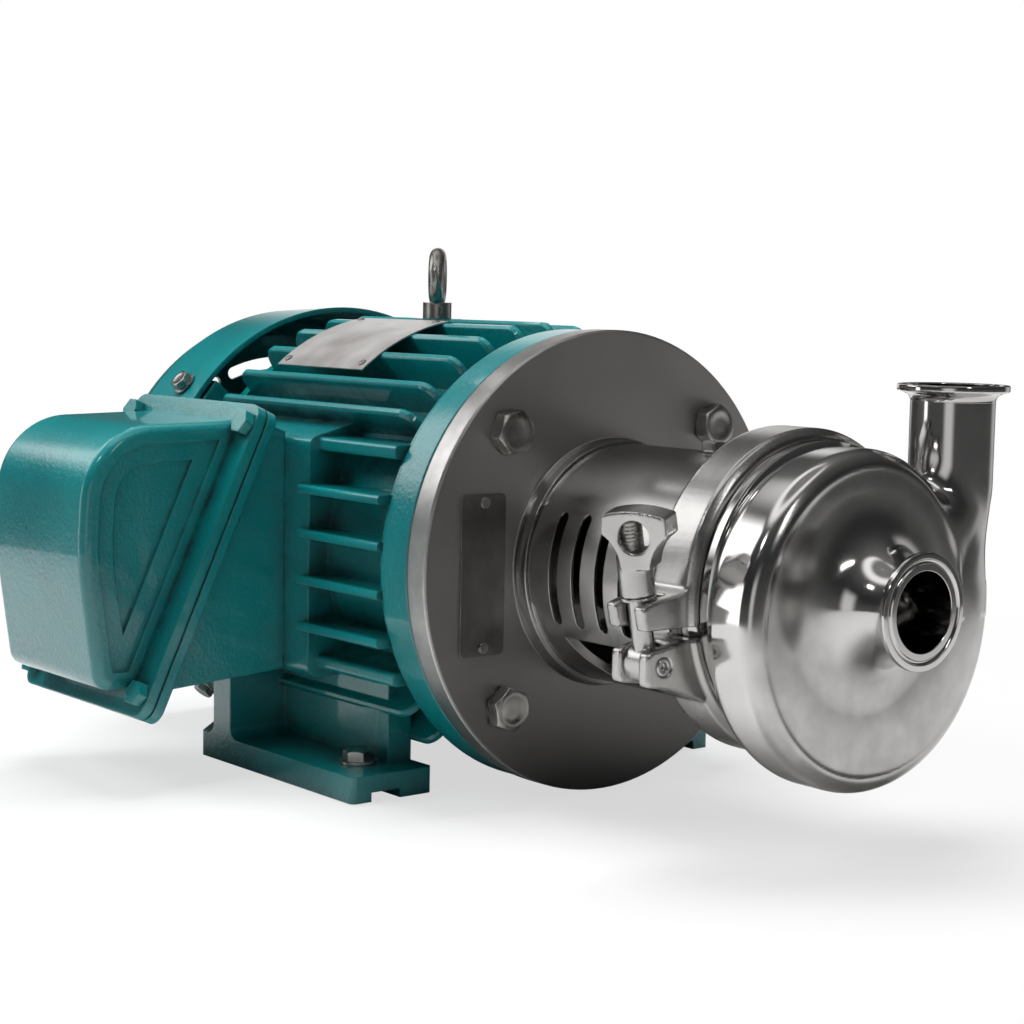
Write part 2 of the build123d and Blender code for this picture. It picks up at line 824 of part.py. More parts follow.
outer_dome = dome_side(dome_back, 0)
inner_dome = dome_side(dome_back + dome_side_wall, box_wall)
with BuildPart() as terminal_box_cover:
    extrude(outer_dome, amount=dome_width)
    side_edges = terminal_box_cover.faces().sort_by(Axis.X)[-1].edges()
    side_edges += terminal_box_cover.faces().sort_by(Axis.X)[0].edges()
    fillet(side_edges, radius=5)
    # both sides of the dome step back twice towards a sunk panel
    for step in (1, 2):
        for start in (dome_back, dome_back + dome_width - step * panel_step):
            extrude(
                dome_side(start, step * panel_inset),
                amount=step * panel_step,
                mode=Mode.SUBTRACT,
            )
    with BuildSketch(lid_plane.offset(cover_back)) as cover_flange:
        RectangleRounded(box_width, lid_height, 8)
    extrude(cover_flange.sketch, amount=lid_flange)
    extrude(inner_dome, amount=dome_width - 2 * dome_side_wall, mode=Mode.SUBTRACT)
    with BuildSketch(lid_plane.offset(cover_back - 1)) as cover_mouth:
        RectangleRounded(dome_width - 2 * dome_side_wall, mouth_height - 4, 6)
    extrude(cover_mouth.sketch, amount=lid_flange + 2, mode=Mode.SUBTRACT)
save(terminal_box_cover, "terminal_box_cover")

lid_bolt_across = box_width - 2 * lid_bolt_edge_x
lid_bolt_along = lid_height - 2 * lid_bolt_edge_y
with BuildPart() as terminal_box_screws:
    with BuildSketch(lid_plane.offset(cover_face + snug)) as lid_screws:
        with GridLocations(lid_bolt_across, lid_bolt_along, 2, 2):
            RegularPolygon(6.4, 6)
    extrude(lid_screws.sketch, amount=5.5)
save(terminal_box_screws, "terminal_box_screws")

# Terminal block between the lead passage and the top of the box's mouth
block_low = shaft_height + lead_hole_r + 2
block_high = lid_point(mouth_height / 2, -box_wall)[1] - 2
with BuildPart() as terminal_block:
    with Locations((box_x, -pad_face_y - box_wall - 2 * snug, (block_low + block_high) / 2)):
        Box(
            block_width,
            block_depth,
            block_high - block_low - 4,
            align=(Align.CENTER, Align.MAX, Align.CENTER),
        )
        with GridLocations(block_width / 6.4, 1, 6, 1):
            Box(
                2,
                block_depth + 4,
                block_high - block_low,
                align=(Align.CENTER, Align.MAX, Align.CENTER),
            )
save(terminal_block, "terminal_block")

# Adapter: flange on the motor face, windowed neck and clamp rim at its front
with BuildPart() as adapter:
    turned([
        (c_face_x + flange_skin, flange_r),
        (face_x - 1, flange_r),
        (face_x, flange_r - 1),
        (face_x, neck_r),
        (joint_face - rim_flat - rim_slope, neck_r),
        (joint_face - rim_flat, rim_r),
        (joint_face, rim_r),
        (joint_face, neck_r - neck_wall),
        (c_face_x + register_depth + rest_gap, neck_r - neck_wall),
        (c_face_x + register_depth + rest_gap, register_r + snug),
        (c_face_x + flange_skin, register_r + snug),
    ])
    # collar where the neck meets the flange
    turned([
        (face_x - 1, neck_r - 1),
        (face_x - 1, neck_r + 4),
        (face_x + 3, neck_r + 2.5),
        (face_x + 7, neck_r + 2),
        (face_x + 8, neck_r - 1),
    ])
    with BuildSketch(Plane.XZ) as window:
        with BuildLine():
            Polyline(
                (face_x + window_back, shaft_height + window_bottom),
                (face_x + window_front, shaft_height + window_bottom),
                (face_x + window_front, shaft_height + window_top),
                (face_x + window_back, shaft_height + window_top),
                close=True,
            )
        make_face()
        window_corners = window.vertices().sort_by(lambda corner: corner.Y * 10 + corner.X)
        fillet(window_corners[0], radius=38)
        fillet(window.vertices().group_by(Axis.X)[-1], radius=12)
        fillet(window.vertices().group_by(Axis.Y)[-1].sort_by(Axis.X)[0], radius=12)
    extrude(window.sketch, amount=neck_r + 5, both=True, mode=Mode.SUBTRACT)
    with BuildSketch(Plane.YZ.offset(face_x)) as flange_holes:
        with Locations((0, shaft_height)):
            with PolarLocations(bolt_circle_r, 4, start_angle=45):
                Circle(6.6)
    extrude(flange_holes.sketch, amount=-20, mode=Mode.SUBTRACT)
save(adapter, "adapter")

with BuildPart() as adapter_bolts:
    with BuildSketch(Plane.YZ.offset(face_x + snug)) as bolt_heads:
        with Locations((0, shaft_height)):
            with PolarLocations(bolt_circle_r, 4, start_angle=45):
                RegularPolygon(10.9, 6)
    extrude(bolt_heads.sketch, amount=8)
    with BuildSketch(Plane.YZ.offset(face_x + 1)) as bolt_shanks:
        with Locations((0, shaft_height)):
            with PolarLocations(bolt_circle_r, 4, start_angle=45):
                Circle(6.3)
    extrude(bolt_shanks.sketch, amount=-22)
save(adapter_bolts, "adapter_bolts")

label_y = -79.0
label_height = 76.0
with BuildPart() as adapter_plate:
    with BuildSketch(Plane.YZ.offset(face_x + snug)) as label_shape:
        with Locations((label_y, shaft_height - 1.3)):
            RectangleRounded(26, label_height, 3)
    extrude(label_shape.sketch, amount=plate_thickness)
save(adapter_plate, "adapter_plate")

with BuildPart() as adapter_plate_screws:
    with BuildSketch(Plane.YZ.offset(face_x + 2 * snug + plate_thickness)) as label_screws:
        with Locations((label_y, shaft_height - 1.3)):
            with GridLocations(1, label_height - 8, 1, 2):
                Circle(2.6)
    extrude(label_screws.sketch, amount=1.4)
save(adapter_plate_screws, "adapter_plate_screws")

# Guard: a slotted sheet bent over the neck, fixed by one bolt on top
guard_in_r = neck_r + snug
guard_out_r = guard_in_r + guard_thickness
with BuildPart() as guard:
    disc(face_x + guard_back, face_x + guard_front, guard_out_r)
    disc(face_x + guard_back - 1, face_x + guard_front + 1, guard_in_r, mode=Mode.SUBTRACT)
    # open below, down to the low edges on both sides
    low_edge = guard_out_r * 1.5
    low_turn = math.radians(guard_low_angle)
    low_side = (-low_edge * math.cos(low_turn), -low_edge * math.sin(low_turn))
    with BuildSketch(Plane.YZ.offset(face_x + guard_back - 1)) as guard_gap:
        with BuildLine():
            Polyline(
                (0, shaft_height),
                (low_side[0], shaft_height + low_side[1]),
                (low_side[0], shaft_height - 2 * low_edge),
                (-low_side[0], shaft_height - 2 * low_edge),
                (-low_side[0], shaft_height + low_side[1]),
                close=True,
            )
        make_face()
    extrude(guard_gap.sketch, amount=guard_front - guard_back + 2, mode=Mode.SUBTRACT)
    slot_half_height = guard_out_r * math.sin(math.radians(slot_half_angle))
    first_slot = face_x + slot_start
    with BuildSketch(Plane.XZ) as guard_slots:
        for index in range(slot_count):
            with Locations((first_slot + index * slot_pitch, shaft_height + 3)):
                SlotOverall(2 * slot_half_height, slot_width, rotation=90)
    extrude(guard_slots.sketch, amount=guard_out_r + 2, both=True, mode=Mode.SUBTRACT)
    # back edge stepped forwards above and below, which leaves a tab on each side
    tab_back = face_x + guard_back - 1
    with BuildSketch(Plane.XZ) as tab_cuts:
        for level in (guard_tab_top, -guard_tab_bottom):
            away = math.copysign(1, level)
            with BuildLine():
                Polyline(
                    (tab_back, shaft_height + level),
                    (tab_back + 2.5, shaft_height + level),
                    (tab_back + guard_tab, shaft_height + level + away * guard_tab),
                    (tab_back + guard_tab, shaft_height + away * 2 * guard_out_r),
                    (tab_back, shaft_height + away * 2 * guard_out_r),
                    close=True,
                )
            make_face()
    extrude(tab_cuts.sketch, amount=guard_out_r + 2, both=True, mode=Mode.SUBTRACT)
save(guard, "guard")

with BuildPart() as guard_bolt:
    with BuildSketch(Plane.XY.offset(shaft_height + guard_out_r)) as guard_bolt_head:
        with Locations((face_x + 70, 0)):
            RegularPolygon(5.8, 6)
    extrude(guard_bolt_head.sketch, amount=5)
save(guard_bolt, "guard_bolt")

# Backplate closing the casing, with its seal ring and O-ring
backplate_front = face_x + impeller_back - 4
spigot_r = casing_bore_r - rest_gap
with BuildPart() as backplate:
    turned([
        (joint_face, rim_r),
        (joint_face + backplate_rim, rim_r),
        (joint_face + backplate_rim, spigot_r),
        (joint_face + backplate_rim + 2.5, spigot_r),
        (joint_face + backplate_rim + 2.5, spigot_r - 2),
        (joint_face + backplate_rim + 5.1, spigot_r - 2),
        (joint_face + backplate_rim + 5.1, spigot_r),
        (backplate_front, spigot_r),
        (backplate_front, seal_seat_r + snug),
        (backplate_front - 6, seal_seat_r + snug),
        (backplate_front - 6, seal_bore_r),
        (joint_face - 4, seal_bore_r),
        (joint_face - 4, seal_seat_r + 6),
        (backplate_front - 4, seal_seat_r + 8),
        (backplate_front - 4, spigot_r - 7),
        (joint_face, spigot_r - 7),
    ])
save(backplate, "backplate")

with BuildPart() as casing_o_ring:
    turned([
        (joint_face + backplate_rim + 2.6, spigot_r - 2),
        (joint_face + backplate_rim + 2.6, spigot_r),
        (joint_face + backplate_rim + 3.2, spigot_r + 0.1),
        (joint_face + backplate_rim + 4.4, spigot_r + 0.1),
        (joint_face + backplate_rim + 5, spigot_r),
        (joint_face + backplate_rim + 5, spigot_r - 2),
    ])
save(casing_o_ring, "casing_o_ring")

with BuildPart() as seal_seat:
    disc(backplate_front - 6, backplate_front - 0.5, seal_seat_r)
    disc(backplate_front - 7, backplate_front, seal_bore_r, mode=Mode.SUBTRACT)
save(seal_seat, "seal_seat")

# Clamp ring in two halves, hinged on the discharge side and closed by the swing bolt
groove_r = rim_r + 2 * rest_gap
clamp_outline = [
    (face_x + clamp_back, neck_r + 3.5),
    (joint_face - rim_flat - rim_slope + 0.7, neck_r + 3.5),
    (joint_face - rim_flat - 2 * rest_gap, groove_r),
    (casing_rim_back + rim_flat + 2 * rest_gap, groove_r),
    (casing_rim_back + rim_flat + rim_slope + 0.7, casing_neck_r + 2 * rest_gap),
    (face_x + clamp_front + clamp_nose, casing_neck_r + 2 * rest_gap),
    (face_x + clamp_front + clamp_nose, clamp_r - 3.5),
    (face_x + clamp_front, clamp_r),
    (face_x + clamp_back + 0.8, clamp_r),
    (face_x + clamp_back, clamp_r - 0.8),
]
upper_cut = shaft_height + split_height + split_gap / 2
lower_cut = shaft_height + split_height - split_gap / 2
ear_root_y = -clamp_r + 4
ear_top = seat_distance - washer_thickness - rest_gap


def bolt_point(inwards, along):
    """(y, z) of a point beside the swing bolt, from the centre of its pin."""
    y = swing_pin_y + inwards * math.cos(lean) - along * math.sin(lean)
    z = pin_height + inwards * math.sin(lean) + along * math.cos(lean)
    return (y, z)


def clamp_half(keep_above):
    """Turned ring with the other half cut away."""
    turned(clamp_outline)
    cut = upper_cut if keep_above else lower_cut
    with Locations((clamp_mid, 0, cut)):
        Box(
            60,
            4 * clamp_r,
            4 * clamp_r,
            align=(Align.CENTER, Align.CENTER, Align.MAX if keep_above else Align.MIN),
            mode=Mode.SUBTRACT,
        )


def hinge_knuckle(side, back, front):
    """Arm and eye of the hinge, above the split for side 1 and below it for -1."""
    split_z = shaft_height + split_height
    with BuildSketch(Plane.YZ.offset(clamp_mid + back)) as knuckle:
        with BuildLine():
            Polyline(
                (clamp_r - 4, split_z + side * 17),
                (clamp_r - 4, split_z + side * split_gap / 2),
                (hinge_pin_y - 4, split_z + side * split_gap / 2),
                (hinge_pin_y, split_z),
                (hinge_pin_y, split_z + side * knuckle_r),
                close=True,
            )
        make_face()
        with Locations((hinge_pin_y, split_z)):
            Circle(knuckle_r)
            Circle(hinge_pin_r + snug, mode=Mode.SUBTRACT)
    extrude(knuckle.sketch, amount=front - back)


with BuildPart() as clamp_upper_half:
    clamp_half(keep_above=True)
    tip_in = -8.5
    tip_along = math.sqrt(ear_top**2 - tip_in**2)
    with BuildSketch(Plane.YZ.offset(clamp_mid - ear_width / 2)) as upper_ear:
        with BuildLine():
            Polyline(
                bolt_point(0, ear_top),
                bolt_point(14, ear_top),
                (ear_root_y, shaft_height + 9),
                (ear_root_y, upper_cut),
                (swing_pin_y - 11, upper_cut),
                bolt_point(tip_in, tip_along),
            )
            ThreePointArc(
                bolt_point(tip_in, tip_along),
                bolt_point(tip_in / 2, math.sqrt(ear_top**2 - tip_in**2 / 4)),
                bolt_point(0, ear_top),
            )
        make_face()
    extrude(upper_ear.sketch, amount=ear_width)
    with Locations((clamp_mid, swing_pin_y + 5, shaft_height)):
        Box(
            ear_slot,
            40,
            80,
            align=(Align.CENTER, Align.MAX, Align.CENTER),
            mode=Mode.SUBTRACT,
        )
    hinge_knuckle(1, -knuckle_half_width, -3.9)
    hinge_knuckle(1, 3.9, knuckle_half_width)
save(clamp_upper_half, "clamp_upper_half")

with BuildPart() as clamp_lower_half:
    clamp_half(keep_above=False)
    with BuildSketch(Plane.YZ.offset(clamp_mid - ear_width / 2)) as lower_ear:
        with BuildLine():
            Polyline(
                (ear_root_y, lower_cut),
                (swing_pin_y - 9.5, pin_height + 6.3),
                (swing_pin_y - 9.5, pin_height - 8),
                (swing_pin_y + 4, pin_height - 10),
                (ear_root_y + 9, pin_height - 17.5),
                close=True,
            )
        make_face()
        fillet(lower_ear.vertices().group_by(Axis.X)[0], radius=2.5)
    extrude(lower_ear.sketch, amount=ear_width)
    with Locations((clamp_mid, swing_pin_y + swing_eye_r + 1, shaft_height)):
        Box(
            ear_slot,
            40,
            120,
            align=(Align.CENTER, Align.MAX, Align.CENTER),
            mode=Mode.SUBTRACT,
        )
    with BuildSketch(Plane.YZ.offset(clamp_mid - ear_width)) as swing_hole:
        with Locations((swing_pin_y, pin_height)):
            Circle(swing_pin_r + snug)
    extrude(swing_hole.sketch, amount=2 * ear_width, mode=Mode.SUBTRACT)
    hinge_knuckle(-1, -3.6, 3.6)
save(clamp_lower_half, "clamp_lower_half")

with BuildPart() as clamp_hinge_pin:
    with BuildSketch(Plane.YZ.offset(clamp_mid - knuckle_half_width)) as hinge_pin:
        with Locations((hinge_pin_y, shaft_height + split_height)):
            Circle(hinge_pin_r)
    extrude(hinge_pin.sketch, amount=2 * knuckle_half_width)
save(clamp_hinge_pin, "clamp_hinge_pin")

with BuildPart() as swing_bolt_pin:
    with BuildSketch(Plane.YZ.offset(clamp_mid - ear_width / 2 + 1)) as swing_pin:
        with Locations((swing_pin_y, pin_height)):
            Circle(swing_pin_r)
    extrude(swing_pin.sketch, amount=ear_width - 2)
save(swing_bolt_pin, "swing_bolt_pin")

with BuildPart() as swing_bolt:
    with BuildSketch(bolt_plane) as bolt_section:
        Circle(bolt_r)
    extrude(bolt_section.sketch, amount=bolt_length)
    eye_half_width = ear_slot / 2 - rest_gap
    with BuildSketch(Plane.YZ.offset(clamp_mid - eye_half_width)) as bolt_eye:
        with Locations((swing_pin_y, pin_height)):
            Circle(swing_eye_r)
    extrude(bolt_eye.sketch, amount=2 * eye_half_width)
    with BuildSketch(Plane.YZ.offset(clamp_mid - ear_width)) as bolt_eye_hole:
        with Locations((swing_pin_y, pin_height)):
            Circle(swing_pin_r + slip)
    extrude(bolt_eye_hole.sketch, amount=2 * ear_width, mode=Mode.SUBTRACT)
    chamfer(swing_bolt.edges().sort_by(Axis.Z)[-1], length=1)
save(swing_bolt, "swing_bolt")

with BuildPart() as thrust_washer:
    with BuildSketch(bolt_plane.offset(seat_distance - washer_thickness)) as washer:
        Circle(nut_shank_r + 0.4)
        Circle(bolt_r + slip, mode=Mode.SUBTRACT)
    extrude(washer.sketch, amount=washer_thickness - slip)
save(thrust_washer, "thrust_washer")

# Wing nut: a round shank that spreads into a flat fan with a hole across it
wing_plane = bolt_plane.rotated((0, 0, nut_turn))
fan_plane = Plane(
    origin=wing_plane.origin,
    x_dir=wing_plane.x_dir,
    z_dir=-wing_plane.y_dir,
)
nut_top = seat_distance + nut_height
with BuildPart() as wing_nut:
    with BuildSketch(bolt_plane.offset(seat_distance)) as nut_shank:
        Circle(nut_shank_r)
    extrude(nut_shank.sketch, amount=18)
    with BuildSketch(fan_plane.offset(-nut_thickness / 2)) as nut_fan:
        with BuildLine():
            shoulder_x = nut_span / 2
            ThreePointArc((-6.6, nut_top - 25), (-9, nut_top - 16.5), (-shoulder_x, nut_top - 10.5))
            Line((-shoulder_x, nut_top - 10.5), (-shoulder_x + 0.7, nut_top - 2.2))
            ThreePointArc(
                (-shoulder_x + 0.7, nut_top - 2.2),
                (0, nut_top),
                (shoulder_x - 0.7, nut_top - 2.2),
            )
            Line((shoulder_x - 0.7, nut_top - 2.2), (shoulder_x, nut_top - 10.5))
            ThreePointArc((shoulder_x, nut_top - 10.5), (9, nut_top - 16.5), (6.6, nut_top - 25))
            Line((6.6, nut_top - 25), (-6.6, nut_top - 25))
        make_face()
    extrude(nut_fan.sketch, amount=nut_thickness)
    with BuildSketch(fan_plane.offset(-nut_thickness)) as nut_window:
        with Locations((0, nut_top - 11)):
            Circle(7)
    extrude(nut_window.sketch, amount=2 * nut_thickness, mode=Mode.SUBTRACT)
    with BuildSketch(bolt_plane.offset(seat_distance - 1)) as nut_bore:
        Circle(bolt_r + slip)
    extrude(nut_bore.sketch, amount=nut_height - 2.5, mode=Mode.SUBTRACT)
save(wing_nut, "wing_nut")

# Casing: volute on a four-centre spiral with a tangential outlet
scroll_right = discharge_y + tube_r
spiral_low_z = scroll_shift + scroll_left - scroll_bottom
spiral_top_y = scroll_top - scroll_left - spiral_low_z
spiral_right_z = scroll_right - scroll_shift - scroll_bottom


outlet_x = face_x + port_x
suction_x = face_x + suction_face
outlet_axis = Axis((outlet_x, discharge_y, 0), (0, 0, 1))


def scroll_shape(back, inset, top_height, corner):
    """Outline of the volute at x = back, drawn in by the inset, up to a height over the shaft."""
    z0 = shaft_height
    left = -scroll_left + inset
    right = scroll_right - inset
    top = scroll_top - inset
    # the outlet lies a little inside the tube that it runs into
    outlet_left = discharge_y - tube_r + inset + 0.4
    tongue_angle = math.degrees(math.acos((outlet_left - spiral_top_y) / top))
    tongue_z = top * math.sin(math.radians(tongue_angle))
    with BuildSketch(Plane.YZ.offset(back)) as scroll:
        with BuildLine():
            CenterArc((spiral_top_y, z0 + spiral_low_z), spiral_top_y - left, 90, 90)
            CenterArc((scroll_shift, z0 + spiral_low_z), scroll_shift - left, 180, 90)
            CenterArc((scroll_shift, z0 + spiral_right_z), right - scroll_shift, 270, 90)
            Polyline(
                (right, z0 + spiral_right_z),
                (right - 0.4, z0 + top_height),
                (outlet_left, z0 + top_height),
                (outlet_left, z0 + tongue_z),
            )
            CenterArc((spiral_top_y, z0), top, tongue_angle, 90 - tongue_angle)
        make_face()
        tongue = scroll.vertices().sort_by_distance((outlet_left, z0 + tongue_z))[0]
        fillet(tongue, radius=corner)
    return scroll.sketch


def front_of_volute(inset):
    """Everything in front of the volute's rolled face, moved back by the inset."""
    face = face_x + volute_front - inset
    edge = outlet_x - min(inset, casing_wall)
    flat = roll_flat_r - min(inset, casing_wall)
    rim = roll_edge_r - min(inset, casing_wall)
    roll_centre = (0, roll_y, shaft_height + roll_z)
    roll_plane = Plane(origin=roll_centre, x_dir=(1, 0, 0), z_dir=(0, -1, 0))
    with BuildPart() as in_front:
        with BuildSketch(roll_plane) as roll:
            with BuildLine():
                Polyline((face + 20, 0), (face, 0), (face, flat))
                EllipticalCenterArc((edge, flat), face - edge, rim - flat, arc_size=90)
                Polyline((edge, rim), (edge, 2 * rim), (face + 20, 2 * rim), (face + 20, 0))
            make_face()
        revolve(roll.sketch, axis=Axis(roll_centre, (1, 0, 0)))
    return in_front.part


def outlet_cone(start_r, end_r, end_height):
    """Round outlet that widens from inside the scroll up to a height over the shaft."""
    with Locations((outlet_x, discharge_y, shaft_height + outlet_low)):
        Cone(
            start_r,
            end_r,
            end_height - outlet_low,
            align=(Align.CENTER, Align.CENTER, Align.MIN),
        )


def ferrule_outline(face):
    """(place along the port, radius) of the rim at a port's end, with its gasket groove."""
    return [
        (face - 6.5, tube_r),
        (face - 4.6, tube_r + 1.2),
        (face - ferrule_rim, ferrule_r - 0.4),
        (face - ferrule_rim + 0.6, ferrule_r),
        (face - 0.5, ferrule_r),
        (face, ferrule_r - 0.5),
        (face, tube_bore_r + 5.2),
        (face - 1, tube_bore_r + 4.6),
        (face - 1, tube_bore_r + 3.4),
        (face, tube_bore_r + 2.8),
    ]


volute_shape = scroll_shape(face_x + volute_back, 0, tube_joint, saddle_r)
hollow_back = face_x + volute_back + casing_wall
hollow_shape = scroll_shape(hollow_back, casing_wall, outlet_full - 7, saddle_r / 4)
with BuildPart() as volute_hollow:
    extrude(hollow_shape, amount=volute_front - volute_back)
    add(front_of_volute(front_wall), mode=Mode.SUBTRACT)
    outlet_cone(outlet_start_r - casing_wall / 2, tube_bore_r - 0.2, tube_joint)

with BuildPart() as casing:
    extrude(volute_shape, amount=volute_front - volute_back)
    joint_top = shaft_height + tube_joint
    front_edges = casing.edges().group_by(Axis.X)[-1].filter_by(
        lambda edge: edge.center().Z < joint_top - 0.1
    )
    fillet(front_edges, radius=ridge_r)
    back_edges = casing.edges().group_by(Axis.X)[0].filter_by(
        lambda edge: edge.center().Z < joint_top - 0.1
    )
    fillet(back_edges, radius=6)
    add(front_of_volute(0), mode=Mode.SUBTRACT)
    # outlet that widens to the tube, kept clear of the clamp ring
    outlet_cone(outlet_start_r, tube_r, outlet_full)
    with BuildSketch(Plane.XY.offset(shaft_height + outlet_full)) as outlet_end:
        with Locations((outlet_x, discharge_y)):
            Circle(tube_r)
    extrude(outlet_end.sketch, amount=tube_joint - outlet_full)
    clear_of_clamp = face_x + clamp_front + clamp_nose + 0.5
    disc(face_x, clear_of_clamp, clamp_r + 1, mode=Mode.SUBTRACT)
    # rim for the clamp, neck and ring behind the volute
    turned([
        (casing_rim_back, 0),
        (casing_rim_back, rim_r),
        (casing_rim_back + rim_flat, rim_r),
        (casing_rim_back + rim_flat + rim_slope, casing_neck_r),
        (face_x + clamp_front + clamp_nose + 0.5, casing_neck_r),
        (face_x + clamp_front + clamp_nose + 0.5, casing_ring_r - 1),
        (face_x + clamp_front + clamp_nose + 1.5, casing_ring_r),
        (face_x + volute_back - 0.8, casing_ring_r),
        (face_x + volute_back, casing_ring_r - 0.8),
        (face_x + volute_back + 0.8, casing_ring_r),
        (face_x + volute_back + 3, casing_ring_r - 4),
        (face_x + volute_back + 3, 0),
    ])
    # dished front with the flare of the suction port
    volute_face = face_x + volute_front
    turned(
        [
            (volute_face + 1, 57),
            (volute_face, 57),
            (volute_face - 1.6, 53),
            (volute_face - 2.6, 48),
            (volute_face - 2.9, 43),
            (volute_face - 2.4, 38),
            (volute_face - 1.2, 34),
            (volute_face + 1, 30),
        ],
        mode=Mode.SUBTRACT,
    )
    turned([
        (volute_face - 4, 0),
        (volute_face - 4, 36),
        (volute_face - 1.2, 34),
        (volute_face + 1, 30.5),
        (volute_face + 4, 26),
        (volute_face + 8, 22),
        (volute_face + 12.4, tube_r + 0.5),
        (volute_face + 12.4, tube_r),
        *ferrule_outline(suction_x),
        (suction_x, 0),
    ])
    # inside: scroll channel with its outlet, bore for the backplate and suction port
    add(volute_hollow.part, mode=Mode.SUBTRACT)
    disc(casing_rim_back - 1, hollow_back + 1, casing_bore_r, mode=Mode.SUBTRACT)
    disc(hollow_back, suction_x + 1, tube_bore_r, mode=Mode.SUBTRACT)
save(casing, "casing")

# Discharge tube with its ferrule, welded on the casing's outlet
discharge_top = shaft_height + discharge_height
with BuildPart() as discharge_tube:
    tube_outline = [
        (joint_top, tube_bore_r),
        (joint_top, tube_r),
        *ferrule_outline(discharge_top),
        (discharge_top, tube_bore_r),
    ]
    with BuildSketch(Plane.XZ.offset(-discharge_y)) as tube_section:
        with BuildLine():
            Polyline([(outlet_x + r, z) for z, r in tube_outline], close=True)
        make_face()
    revolve(tube_section.sketch, axis=outlet_axis)
save(discharge_tube, "discharge_tube")

# Stub shaft on the motor shaft, carrying the open impeller
stub_back = c_face_x + 21
impeller_x = face_x + impeller_back
hub_front = impeller_x + impeller_disc + hub_height
with BuildPart() as stub_shaft:
    turned([
        (stub_back, motor_shaft_r + snug),
        (stub_back, sleeve_r),
        (shaft_end + 4, sleeve_r),
        (shaft_end + 14, stub_r),
        (impeller_x, stub_r),
        (impeller_x, stub_end_r),
        (hub_front, stub_end_r),
        (hub_front, thread_r),
        (hub_front + nut_length / 2, thread_r),
        (hub_front + nut_length / 2, 0),
        (shaft_end + 0.5, 0),
        (shaft_end + 0.5, motor_shaft_r + snug),
    ])
    # keyway through the sleeve
    with Locations((stub_back - 1, 0, key_low)):
        Box(
            shaft_end - stub_back + 1,
            key_width + 2 * snug,
            key_width + 0.3,
            align=(Align.MIN, Align.CENTER, Align.MIN),
            mode=Mode.SUBTRACT,
        )
save(stub_shaft, "stub_shaft")


def polar_point(radius, angle):
    turn = math.radians(angle)
    return (radius * math.cos(turn), radius * math.sin(turn))


blade_path = ThreePointArc(
    polar_point(nut_r + rest_gap + blade_thickness / 2, 0),
    polar_point((hub_r + impeller_r) / 2, 42),
    polar_point(impeller_r - blade_thickness, 74),
)
with BuildPart() as impeller:
    disc(impeller_x, impeller_x + impeller_disc, impeller_r)
    disc(impeller_x, hub_front, hub_r)
    with BuildSketch(Plane.YZ.offset(impeller_x + impeller_disc - 1)) as blades:
        with Locations((0, shaft_height)):
            with PolarLocations(0, blade_count):
                SlotArc(blade_path, blade_thickness)
    extrude(blades.sketch, amount=blade_height + 1)
    disc(impeller_x - 1, hub_front + 1, stub_end_r + snug, mode=Mode.SUBTRACT)
save(impeller, "impeller")

with BuildPart() as impeller_nut:
    nut_back = hub_front + snug
    turned([
        (nut_back, thread_r + snug),
        (nut_back, nut_r),
        (nut_back + nut_length / 3, nut_r),
        (nut_back + nut_length - 3, 0.72 * nut_r),
        (nut_back + nut_length - 0.5, 0.32 * nut_r),
        (nut_back + nut_length, 0),
        (nut_back + nut_length / 2 + 0.5, 0),
        (nut_back + nut_length / 2 + 0.5, thread_r + snug),
    ])
save(impeller_nut, "impeller_nut")

with BuildPart() as seal_face_ring:
    disc(backplate_front - 0.5 + rest_gap, impeller_x - snug, seal_seat_r - 1.5)
    disc(backplate_front - 1, impeller_x, stub_r + snug, mode=Mode.SUBTRACT)
save(seal_face_ring, "seal_face_ring")
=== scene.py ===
# Looks for the sanitary centrifugal pump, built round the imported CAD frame. Metres, +Z up.
import math

import bpy
import numpy as np
from mathutils import Matrix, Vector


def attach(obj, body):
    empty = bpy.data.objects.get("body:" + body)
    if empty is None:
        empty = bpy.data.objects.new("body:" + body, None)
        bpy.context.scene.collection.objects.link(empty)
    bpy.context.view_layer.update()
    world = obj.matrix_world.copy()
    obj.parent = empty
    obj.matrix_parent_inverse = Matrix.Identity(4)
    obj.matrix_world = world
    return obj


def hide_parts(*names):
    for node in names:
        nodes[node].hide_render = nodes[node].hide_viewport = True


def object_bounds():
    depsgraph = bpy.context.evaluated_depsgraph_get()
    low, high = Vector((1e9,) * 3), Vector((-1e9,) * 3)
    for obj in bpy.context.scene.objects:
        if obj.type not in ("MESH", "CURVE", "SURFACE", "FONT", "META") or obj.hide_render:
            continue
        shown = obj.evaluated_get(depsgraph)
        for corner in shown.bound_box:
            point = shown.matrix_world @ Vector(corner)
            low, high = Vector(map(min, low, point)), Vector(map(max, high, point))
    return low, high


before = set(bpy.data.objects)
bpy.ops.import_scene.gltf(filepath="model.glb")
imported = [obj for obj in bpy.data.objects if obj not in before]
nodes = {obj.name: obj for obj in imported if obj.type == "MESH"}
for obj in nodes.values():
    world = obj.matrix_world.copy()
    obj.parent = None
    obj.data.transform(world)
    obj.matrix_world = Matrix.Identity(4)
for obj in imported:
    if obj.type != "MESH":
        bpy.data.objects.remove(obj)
cadLow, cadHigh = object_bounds()
scene = bpy.context.scene
shaftHeight = 0.1143
flangeFace = 0.13245  # front of the adapter's flange, along the shaft
print("frame loaded:", len(nodes), "nodes")

